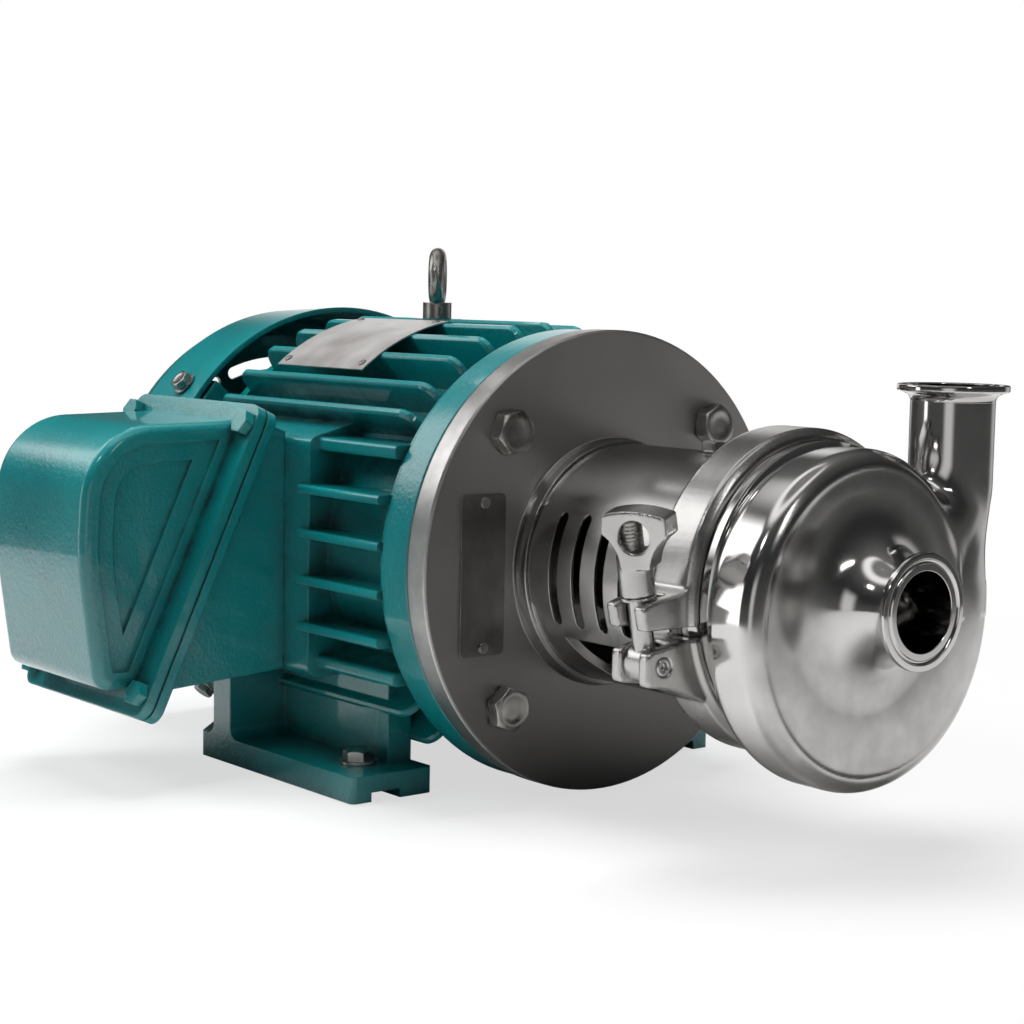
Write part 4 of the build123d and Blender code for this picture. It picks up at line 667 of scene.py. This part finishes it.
# Hexagon heads: adapter bolts, guard bolt, cowl screws and the bolts that hold the feet down. Their sizes
# are in mm, and where they sit is in metres.
mm = 0.001
adapterBolts = {
    "corner": 10.9, "height": 8.0, "chamfer": 0.93, "dish": 0.5, "washer": 0.9, "washerR": 9.3, "shankR": 6.3,
    "shank": 20.0, "circle": 0.092075, "turns": (12, 40, 3, 27), "seat": flangeFace + 0.00002,
}
guardBolt = {
    "corner": 5.8, "height": 5.0, "chamfer": 0.93, "dish": 0.3, "washer": 0.8, "washerR": 5.6, "shankR": 2.9,
    "shank": 0.6, "place": (flangeFace + 0.07, 0, shaftHeight + 0.05832), "turn": 20,
}
cowlScrews = dict(
    guardBolt, washer=1.0, washerR=6.6, shank=0.0, along=-0.116, seat=0.11952, angles=(50, 140, 220, 310),
)
footBolts = {
    "corner": 7.6, "height": 6.6, "chamfer": 0.92, "dish": 0.4, "washer": 1.6, "washerR": 9.6, "shankR": 4.6,
    "shank": 12.4, "spacing": (0.1143, 0.1905), "seat": 0.01302, "turns": (5, 45),
}
headForm = {  # the dish's middle, foot and rim, in shares of the chamfer circle, and the chamfer in degrees
    "dishRings": (0.3, 0.62, 0.72), "rimLeft": 0.2, "washerEdge": 0.86, "chamferSlope": 30, "leastShank": 0.1,
}


def hexHead(size, place, axis, turn=0.0, sides=72):
    # A bolt from the middle of its head to the end of its shank. The distance to a hexagon's side at an
    # angle is flat / cos(angle from the middle of that side); past the chamfer circle the top drops with it.
    angle = np.linspace(0, 2 * math.pi, sides, endpoint=False)
    flat = size["corner"] * math.cos(math.pi / 6)
    toSide = flat / np.cos(angle % (math.pi / 3) - math.pi / 6)
    circle, height = size["chamfer"] * flat, size["height"]
    drop = height - (toSide - circle) * math.tan(math.radians(headForm["chamferSlope"]))
    even = np.ones(sides)
    middle, foot, rim = headForm["dishRings"]
    rows = [
        (even * circle * middle, even * (height - size["dish"])),
        (even * circle * foot, even * (height - size["dish"])),
        (even * circle * rim, even * (height - size["dish"] * headForm["rimLeft"])),
        (even * circle, even * height),
        ((circle + toSide) / 2, (height + drop) / 2),
        (toSide, drop),
        (toSide, even * size["washer"]),
        (even * size["washerR"], even * size["washer"] * headForm["washerEdge"]),
        (even * size["washerR"], even * 0),
        (even * size["shankR"], even * 0),
        (even * size["shankR"], even * -max(size["shank"], headForm["leastShank"])),
    ]
    radii, along = (mm * np.array([row[part] for row in rows]) for part in (0, 1))
    return shell(aboutAxis(radii, along, np.array(place), axis, turn))


def roundTheShaft(along, radius, degrees):  # a point, with the angle counted from the top towards -Y
    turn = math.radians(degrees)
    return np.array([along, -radius * math.sin(turn), shaftHeight + radius * math.cos(turn)])


def fastened(name, heads, *replaced):
    onCarrier(pieceOf(name, heads, zincSteel), "pump_unit", "zinc_steel", *replaced)


boltHeads = []
for index, turn in enumerate(adapterBolts["turns"]):
    spot = roundTheShaft(adapterBolts["seat"], adapterBolts["circle"], 45 + 90 * index)
    boltHeads.append(hexHead(adapterBolts, spot, (1, 0, 0), turn))
fastened("adapterBoltHeads", boltHeads, "adapter_bolts")
guardHead = hexHead(guardBolt, guardBolt["place"], (0, 0, 1), guardBolt["turn"])
fastened("guardBoltHead", [guardHead], "guard_bolt")

cowlHeads = []
for degrees in cowlScrews["angles"]:
    spot = roundTheShaft(cowlScrews["along"], cowlScrews["seat"], degrees)
    outward = spot - [cowlScrews["along"], 0, shaftHeight]
    cowlHeads.append(hexHead(cowlScrews, spot, outward, degrees))
fastened("cowlScrewHeads", cowlHeads, "cowl_screws")

footHeads = []
for sideX, turn in zip((-0.5, 0.5), footBolts["turns"]):
    for sideY in (-0.5, 0.5):
        spot = (sideX * footBolts["spacing"][0], sideY * footBolts["spacing"][1], footBolts["seat"])
        footHeads.append(hexHead(footBolts, spot, (0, 0, 1), turn))
fastened("footBoltHeads", footHeads)
print("bolts made")

# Band of rusty iron where the motor's face shows between its ring and the adapter's flange
jointBand = {"back": 118.52, "front": 119.68, "outer": 111.8, "inner": 108.5}
bandOutline = [
    (jointBand["outer"], jointBand["back"]), (jointBand["outer"], jointBand["front"]),
    (jointBand["inner"], jointBand["front"]), (jointBand["inner"], jointBand["back"]),
]


def ringShell(outline, place, axis, sides=128):
    # A ring with a closed (radius, along) outline, both in mm, turned about the axis.
    outline = mm * np.array(outline)
    grid = aboutAxis(outline[:, :1] + np.zeros(sides), outline[:, 1:], np.array(place), axis)
    return shell(grid, capped=False, looped=True)


bandShell = ringShell(bandOutline, (0, 0, shaftHeight), (1, 0, 0), 160)
band = pieceOf("jointBand", [bandShell], mouldedStuff["rustyIron"])
onCarrier(band, "pump_unit", "satin_stainless")

# Cast and polished pieces: merged copies of their CAD shapes, remeshed and eased so that every edge is round
mergeReach = 0.00001
clampCast = {"body": "pump_unit", "cell": 0.00085, "passes": 3, "share": 0.5}
castCopies = {
    "wingNutCast": {"node": "wing_nut", "body": "nut_body", "cell": 0.00042, "passes": 18, "share": 0.6},
    "upperClampCast": dict(clampCast, node="clamp_upper_half"),
    "lowerClampCast": dict(clampCast, node="clamp_lower_half"),
}


def castCopy(name, plan):
    # The node's mesh with its doubles merged, remade on cells of one size, and averaged with its neighbours.
    mesh = nodes[plan["node"]].data.copy()
    mesh.name = name
    copy = bpy.data.objects.new(name, mesh)
    scene.collection.objects.link(copy)
    bpy.context.view_layer.objects.active = copy
    weld = copy.modifiers.new("weld", "WELD")
    weld.merge_threshold = mergeReach
    remesh = copy.modifiers.new("remesh", "REMESH")
    remesh.mode, remesh.voxel_size, remesh.use_smooth_shade = "VOXEL", plan["cell"], True
    ease = copy.modifiers.new("ease", "SMOOTH")
    ease.factor, ease.iterations = plan["share"], plan["passes"]
    view = bpy.context.evaluated_depsgraph_get()
    finished = bpy.data.meshes.new_from_object(copy.evaluated_get(view))
    copy.modifiers.clear()
    copy.data = finished
    finished.materials.clear()
    finished.materials.append(clampSteel)
    print(name, len(finished.polygons), "faces")
    return onCarrier(copy, plan["body"], "clamp_stainless", plan["node"])


for name, plan in castCopies.items():
    castCopy(name, plan)

# The swing bolt's pin, with a recess in each end, and the thread that shows in the wing nut's window
swingPin = {
    "place": (0.2515, -0.0845, 0.0893), "half": 11.4, "radius": 3.92, "recess": 2.1, "deep": 2.2,
    "chamfer": 0.45, "bevel": 0.3,
}
swingLean = math.radians(10)
boltThread = {
    "axis": (0, -math.sin(swingLean), math.cos(swingLean)), "from": 43.0, "to": 62.6, "root": 4.76,
    "depth": 0.2, "pitch": 1.5875, "rows": 124, "sides": 40,
}
halfPin = np.array([
    (swingPin["recess"], swingPin["half"] - swingPin["deep"]),
    (swingPin["recess"], swingPin["half"] - swingPin["bevel"]),
    (swingPin["recess"] + swingPin["bevel"], swingPin["half"]),
    (swingPin["radius"] - swingPin["chamfer"], swingPin["half"]),
    (swingPin["radius"], swingPin["half"] - swingPin["chamfer"]),
])
pinOutline = mm * np.vstack([halfPin, halfPin[::-1] * [1, -1]])
pinShell = turnedShell(pinOutline, swingPin["place"], (1, 0, 0))
onCarrier(pieceOf("swingPin", [pinShell], clampSteel), "pump_unit", "clamp_stainless", "swing_bolt_pin")


def threadRidges(size):
    # Radius = root + depth * (1 + cos(2 pi * (along / pitch) - angle)) / 2: one ridge that winds up the bolt.
    along = np.linspace(size["from"], size["to"], size["rows"])[:, None]
    angle = np.linspace(0, 2 * math.pi, size["sides"], endpoint=False)[None, :]
    ridge = 0.5 + 0.5 * np.cos(2 * math.pi * along / size["pitch"] - angle)
    radii = size["root"] + size["depth"] * ridge
    return shell(aboutAxis(mm * radii, mm * along, np.array(swingPin["place"]), size["axis"]))


thread = pieceOf("boltThread", [threadRidges(boltThread)], zincSteel)
onCarrier(thread, "swing_bolt_body", "clamp_stainless")

# Rivets of the rating plate: low domes
plateRivets = {
    "radius": 0.0022, "height": 0.0011, "seat": 0.11582, "alongs": (-0.047, 0.02), "angles": (11.5, 36.5),
}
rise = np.linspace(0, math.pi / 2, 9)[1:]
domeOutline = np.stack([plateRivets["radius"] * np.sin(rise), plateRivets["height"] * np.cos(rise)], -1)
domes = []
for along in plateRivets["alongs"]:
    for degrees in plateRivets["angles"]:
        spot = roundTheShaft(along, plateRivets["seat"], degrees)
        domes.append(turnedShell(domeOutline, spot, spot - [along, 0, shaftHeight], 32))
fastened("ratingPlateRivets", domes, "nameplate_rivets")
print("clamp and small pieces made")

# The polished casing as one smooth skin, in place of the CAD casing and its discharge tube
smoothCasing = {
    "left": 72.0, "bottom": 84.0, "top": 66.0, "right": 92.55, "shift": 6.0, "back": 271.45, "front": 300.45,
    "rollMiddle": (-10.0, -14.4), "rollFlat": 62.0, "rollEdge": 108.0, "rollBack": 280.45, "backRound": 7.0,
    "frontRound": 8.0, "frontSlope": 1.4, "dish": (34.0, 62.0, 1.0), "bead": (6.5, 2.2, 0.6), "tube": 19.05,
    "bore": 17.4, "suctionEnd": 324.5, "neckFoot": 8.0, "flare": 30.0, "outlet": (280.45, 73.5),
    "outletRise": (3.0, 48.0), "outletEnds": (-12.0, 86.0), "tubeSink": 0.01, "saddle": 15.0,
    "saddleRise": (8, 38), "blend": 0.5, "wall": 3.2,
    "frontWall": 5.5, "backWall": 2.6, "hollowRound": 4.0, "boreFoot": -8, "boreRise": (60, 110),
    "boreStart": 0.45, "backBore": 58.6, "clearance": (265.45, 74.0), "ringBack": 274.5, "step": 1.2,
    "low": (252, -75, -87), "high": (327, 96, 89),
}


def rounding(first, second, reach):  # the larger of two distances, with their corner rounded over the reach
    overlap = np.maximum(reach - np.abs(first - second), 0)
    return np.maximum(first, second) + overlap * overlap / (4 * reach)


def joining(first, second, reach):  # the smaller of two distances, with their corner filled over the reach
    return -rounding(-first, -second, reach)


def voluteOutline(y, z, size):
    # Distance to a spiral of four arcs round the shaft, each about its own centre.
    low = size["shift"] + size["left"] - size["bottom"]
    right = size["right"] - size["shift"]
    rightLevel = right - size["bottom"]
    upper = np.where(y < 0, np.hypot(y, z - low) - size["left"], np.hypot(y, z) - size["top"])
    bottomLeft = np.hypot(np.minimum(y, 0), z - low) - size["left"]
    bottomRight = np.hypot(y - size["shift"], z - low) - size["shift"] - size["left"]
    outer = np.hypot(y - size["shift"], z - rightLevel) - right
    lower = np.where(y > size["shift"], outer, np.where(z < low, bottomRight, bottomLeft))
    rightArc = np.hypot(y - size["shift"], np.minimum(z - rightLevel, 0)) - right
    return np.where(z > rightLevel, upper, lower), rightArc


def frontFace(y, z, outline, size):
    # How far forward the front stands: a quarter ellipse rolled back from a flat middle, less a shallow dish
    # round the port, plus a bead inside the outline; and how much its slope stretches the distance.
    flat, edge = size["rollFlat"], size["rollEdge"]
    share = np.hypot(y - size["rollMiddle"][0], z - size["rollMiddle"][1])
    share = np.clip((share - flat) / (edge - flat), 0, 0.995)
    face = size["rollBack"] + (size["front"] - size["rollBack"]) * np.sqrt(1 - share * share)
    inner, outer, depth = size["dish"]
    face = face - depth * (1 - easing((np.hypot(y, z) - inner) / (outer - inner)))
    beadIn, beadWidth, beadHeight = size["bead"]
    face = face + beadHeight * np.exp(-((outline + beadIn) / beadWidth) ** 2) * (1 - share)
    return face, 1 + size["frontSlope"] * share ** 3


def skinDistance(points, size):
    # Distance to the casing's metal, in mm, from points (x, y, height over the shaft). The volute lies
    # between a flat back and the rolled front; the outlet turns from the volute's own section into the
    # tube's circle as it rises; ports and volute are joined smoothly, and the hollow is taken out.
    x, y, z = points[..., 0], points[..., 1], points[..., 2]
    radius = np.hypot(y, z)
    outline, rightArc = voluteOutline(y, z, size)
    face, slope = frontFace(y, z, outline, size)
    toFront, toBack = (x - face) / slope, size["back"] - x
    volute = rounding(rounding(outline, toFront, size["frontRound"]), toBack, size["backRound"])

    outletX, outletY = size["outlet"]
    start, end = size["outletRise"]
    rise = easing((z - start) / (end - start))
    foot = rounding(np.abs(y - outletY) - size["tube"], toFront, size["frontRound"])
    foot = rounding(foot, toBack, size["backRound"])
    fromOutlet = np.hypot(x - outletX, y - outletY)
    outlet = foot * (1 - rise) + (fromOutlet - size["tube"] + size["tubeSink"]) * rise
    outlet = rounding(outlet, rightArc, size["blend"])
    start, end = size["outletEnds"]
    outlet = np.maximum(outlet, np.maximum(z - end, start - z))
    start, end = size["saddleRise"]
    body = joining(volute, outlet, size["blend"] + size["saddle"] * easing((z - start) / (end - start)))

    neckEnds = np.maximum(x - size["suctionEnd"], toBack + size["neckFoot"])
    neck = np.maximum(radius - size["tube"], neckEnds)
    body = joining(body, neck, size["flare"])
    clearX, clearR = size["clearance"]
    body = np.maximum(body, np.minimum(clearX - x, clearR - radius))

    depth = np.maximum(x - face + size["frontWall"], toBack + size["backWall"])
    hollow = rounding(outline + size["wall"], depth, size["hollowRound"])
    hollow = np.minimum(hollow, np.maximum(radius - size["bore"], toBack))
    start, span = size["boreRise"]
    bore = size["bore"] * np.clip((z + start) / span, size["boreStart"], 1)
    hollow = np.minimum(hollow, np.maximum(fromOutlet - bore, size["boreFoot"] - z))
    hollow = np.minimum(hollow, np.maximum(radius - size["backBore"], x - size["ringBack"]))
    return np.maximum(body, -hollow)


def gradient(distance, points, reach=0.05):  # central differences along each axis
    moves = reach * np.eye(3)
    slope = [(distance(points + move) - distance(points - move)) / (2 * reach) for move in moves]
    return distance(points), np.stack(slope, -1)


def skinOf(distance, low, high, step, pulls=4):
    # Surface net: one point in each grid cell that the surface crosses, at the mean of the crossings on its
    # edges, and one quad round each grid edge that it crosses. The points are then pulled on to the surface
    # along the distance's gradient, which is their normal too.
    axes = [np.arange(a, b + step, step) for a, b in zip(low, high)]
    grid = np.stack(np.meshgrid(*axes, indexing="ij"), -1)
    value = distance(grid)
    inside = value < 0
    total = np.zeros([n - 1 for n in value.shape] + [3])
    count = np.zeros([n - 1 for n in value.shape])
    rings = []
    for axis in range(3):
        near = [slice(None)] * 3
        far = [slice(None)] * 3
        near[axis], far[axis] = slice(0, -1), slice(1, None)
        near, far = tuple(near), tuple(far)
        crossed = inside[near] != inside[far]
        where = np.argwhere(crossed)
        a, b = value[near][crossed], value[far][crossed]
        spot = grid[near][crossed]
        spot[:, axis] += step * a / (a - b)
        others = [k for k in range(3) if k != axis]
        around = []
        for shiftA, shiftB in ((0, 0), (-1, 0), (-1, -1), (0, -1)):
            cell = where.copy()
            cell[:, others[0]] += shiftA
            cell[:, others[1]] += shiftB
            around.append(cell)
            valid = ((cell >= 0) & (cell < np.array(count.shape))).all(1)
            np.add.at(total, tuple(cell[valid].T), spot[valid])
            np.add.at(count, tuple(cell[valid].T), 1)
        around = np.stack(around, 1)
        valid = ((around >= 0) & (around < np.array(count.shape))).all((1, 2))
        outward = (a < 0) ^ (axis == 1)
        around = np.where(outward[:, None, None], around, around[:, ::-1])
        rings.append(around[valid])
    used = count > 0
    number = np.full(count.shape, -1)
    number[used] = np.arange(used.sum())
    points = total[used] / count[used][:, None]
    faces = np.vstack([number[tuple(np.moveaxis(ring, -1, 0))] for ring in rings])
    for _ in range(pulls):
        here, slope = gradient(distance, points)
        move = -(here / (slope * slope).sum(-1))[:, None] * slope
        reach = np.linalg.norm(move, axis=1)[:, None]
        points = points + move * np.minimum(1, 0.4 * step / np.maximum(reach, 1e-6))
    slope = gradient(distance, points)[1]
    return points, faces, slope / np.linalg.norm(slope, axis=1)[:, None]


casingRims = {  # (radius, along) outlines in mm, and the mouths of the ports in metres
    "clamp": [
        (58.6, 253.25), (66.5, 253.25), (66.5, 256.75), (62.0, 260.05), (62.0, 265.45), (67.0, 265.45),
        (68.0, 266.45), (68.0, 270.65), (67.2, 271.45), (68.0, 272.25), (64.0, 274.45), (58.6, 274.45),
    ],
    "port": [  # the last stretch of a port's tube with its ferrule, back from the mouth
        (17.4, -24.0), (19.07, -24.0), (19.07, -18.4), (19.07, -17.6), (19.9, -17.1), (20.3, -16.2),
        (20.3, -15.0), (19.9, -14.1), (19.07, -13.6), (19.07, -12.8), (19.07, -7.6), (19.07, -6.9),
        (19.4, -5.9), (20.25, -4.6), (22.4, -3.6), (24.85, -2.9), (25.15, -2.6), (25.25, -2.2),
        (25.25, -0.6), (25.1, -0.2), (24.75, 0.0), (22.6, 0.0), (22.3, -0.5), (21.8, -0.9), (21.4, -1.0),
        (20.9, -0.9), (20.5, -0.5), (20.2, 0.0), (17.6, 0.0), (17.4, -0.2),
    ],
    "plain": [(17.4, -7.6), (19.07, -7.6)],  # start of the port whose tube shows no collar
    "suctionMouth": (0.33015, 0, shaftHeight), "dischargeMouth": (0.28045, 0.0735, 0.20605),
}


skinPoints, skinFaces, skinNormals = skinOf(
    lambda spots: skinDistance(spots, smoothCasing),
    smoothCasing["low"], smoothCasing["high"], smoothCasing["step"],
)
skinPoints = mm * skinPoints + [0, 0, shaftHeight]
casingSkin = pieceOf("casingSkin", [(skinPoints, skinFaces)], polishedSkin, smooth=False)
casingSkin.data.shade_smooth()
casingSkin.data.normals_split_custom_set_from_vertices(skinNormals.tolist())
onCarrier(casingSkin, "pump_casing", "polished_stainless", "casing", "discharge_tube")
plainStart = casingRims["plain"][0][1]
plainPort = casingRims["plain"] + [spot for spot in casingRims["port"] if spot[1] > plainStart + 0.1]
rims = [
    ringShell(casingRims["clamp"], (0, 0, shaftHeight), (1, 0, 0)),
    ringShell(casingRims["port"], casingRims["suctionMouth"], (1, 0, 0)),
    ringShell(plainPort, casingRims["dischargeMouth"], (0, 0, 1)),
]
onCarrier(pieceOf("casingRims", rims, polishedRims), "pump_casing", "polished_stainless")
print("casing made:", len(skinFaces), "faces")

# Floor, and a dark room that only reflections see, with soft windows in it
windowPlan = {  # angles in degrees, with the azimuth from -Y towards +X
    "base": 0.035, "zenith": 0.3, "zenithFrom": 0.2, "horizon": 0.06, "horizonWidth": 9, "radius": 0.95,
    "middle": (0.1, 0.0, 0.1), "columns": 180, "rows": 121, "top": 89,
    "windows": [
        {"azimuth": -54, "height": 34, "size": (18, 18), "soft": 8, "tone": 2.4},
        {"azimuth": -30, "height": -4, "size": (7, 22), "soft": 4, "tone": 2.8},
        {"azimuth": -10, "height": 64, "size": (60, 12), "soft": 10, "tone": 1.2},
        {"azimuth": 42, "height": 0, "size": (17, 24), "soft": 12, "tone": 0.7},
        {"azimuth": 172, "height": 4, "size": (18, 26), "soft": 12, "tone": 0.5},
        {"azimuth": -128, "height": 18, "size": (22, 22), "soft": 12, "tone": 0.9},
        {"azimuth": 12, "height": 44, "size": (5, 3), "soft": 2, "tone": 18},
        {"azimuth": 82, "height": 34, "size": (2.5, 9), "soft": 2, "tone": 13},
        {"azimuth": -92, "height": 46, "size": (3, 3), "soft": 2, "tone": 9},
    ],
}


def reflectionRoom(plan):
    # A sphere of points at (azimuth, height), each with a tone: dark, a little lighter at the horizon and at
    # the top, and bright in each window, which fades over its soft edge.
    azimuth = np.linspace(-180, 180, plan["columns"] + 1)[None, :-1]
    height = np.linspace(-plan["top"], plan["top"], plan["rows"])[:, None]
    level = np.cos(np.radians(height))
    tone = plan["base"] + plan["zenith"] * easing(height / 90 - plan["zenithFrom"])
    tone = tone + plan["horizon"] * np.exp(-(height / plan["horizonWidth"]) ** 2) + 0 * azimuth
    for window in plan["windows"]:
        aside = np.abs(((azimuth - window["azimuth"] + 180) % 360 - 180) * level)
        above = np.abs(height - window["height"])
        acrossShare, upShare = (
            easing((size - away) / window["soft"]) for size, away in zip(window["size"], (aside, above))
        )
        tone = tone + window["tone"] * acrossShare * upShare
    turn = np.radians(azimuth)
    grid = [np.sin(turn) * level, -np.cos(turn) * level, np.sin(np.radians(height))]
    grid = plan["radius"] * np.stack(np.broadcast_arrays(*grid), -1) + np.array(plan["middle"])
    material = bpy.data.materials.new("roomTone")
    material.use_nodes = True
    tree = material.node_tree
    tree.nodes.clear()
    stored = addNode(tree, "Attribute", {"attribute_name": "tone"})
    glow = addNode(tree, "Emission", {}, {"Strength": stored.outputs["Fac"]})
    out = tree.nodes.new("ShaderNodeOutputMaterial")
    tree.links.new(glow.outputs[0], out.inputs["Surface"])
    room = pieceOf("reflectionRoom", [shell(grid, capped=False)], material)
    layer = room.data.attributes.new("tone", "FLOAT", "POINT")
    layer.data.foreach_set("value", tone.ravel().astype(np.float32))
    room.visible_camera = room.visible_diffuse = room.visible_shadow = room.visible_transmission = False


floorPlan = {"tone": 0.74, "rough": 0.9, "fade": (0.22, 0.8), "nearShare": 0.65, "reach": 6, "drop": 0.0005}


def paleFloor(plan):
    # Pale near the object, where it takes the shadow, and white further out as the background is.
    material, tree, shader = blankMaterial("paleFloor")
    shader.inputs["Base Color"].default_value = (plan["tone"], plan["tone"], plan["tone"], 1)
    shader.inputs["Roughness"].default_value = plan["rough"]
    place = tree.nodes.new("ShaderNodeTexCoord")
    flat = addNode(tree, "VectorMath", {"operation": "MULTIPLY", 1: (1, 1, 0)}, {0: place.outputs["Object"]})
    reach = addNode(tree, "VectorMath", {"operation": "LENGTH"}, {0: flat.outputs[0]})
    fade = mapped(tree, reach.outputs["Value"], *plan["fade"], plan["nearShare"], 1.0, smooth=True)
    white = addNode(tree, "Emission", {"Strength": 1.0})
    rays = tree.nodes.new("ShaderNodeLightPath")
    share = maths(tree, "MULTIPLY", fade, rays.outputs["Is Camera Ray"])
    mix = addNode(tree, "MixShader", {}, {0: share, 1: shader.outputs[0], 2: white.outputs[0]})
    out = tree.nodes["Material Output"]
    tree.links.new(mix.outputs[0], out.inputs["Surface"])
    reachOut = np.linspace(-plan["reach"], plan["reach"], 5)
    x, y = np.meshgrid(reachOut, reachOut, indexing="ij")
    points = np.stack([x, y, 0 * x + cadLow.z - plan["drop"]], -1)
    pieceOf("floor", [shell(points, ringed=False, capped=False)], material, smooth=False)


reflectionRoom(windowPlan)
paleFloor(floorPlan)
print("floor and room set")

scene.view_settings.view_transform = "Standard"
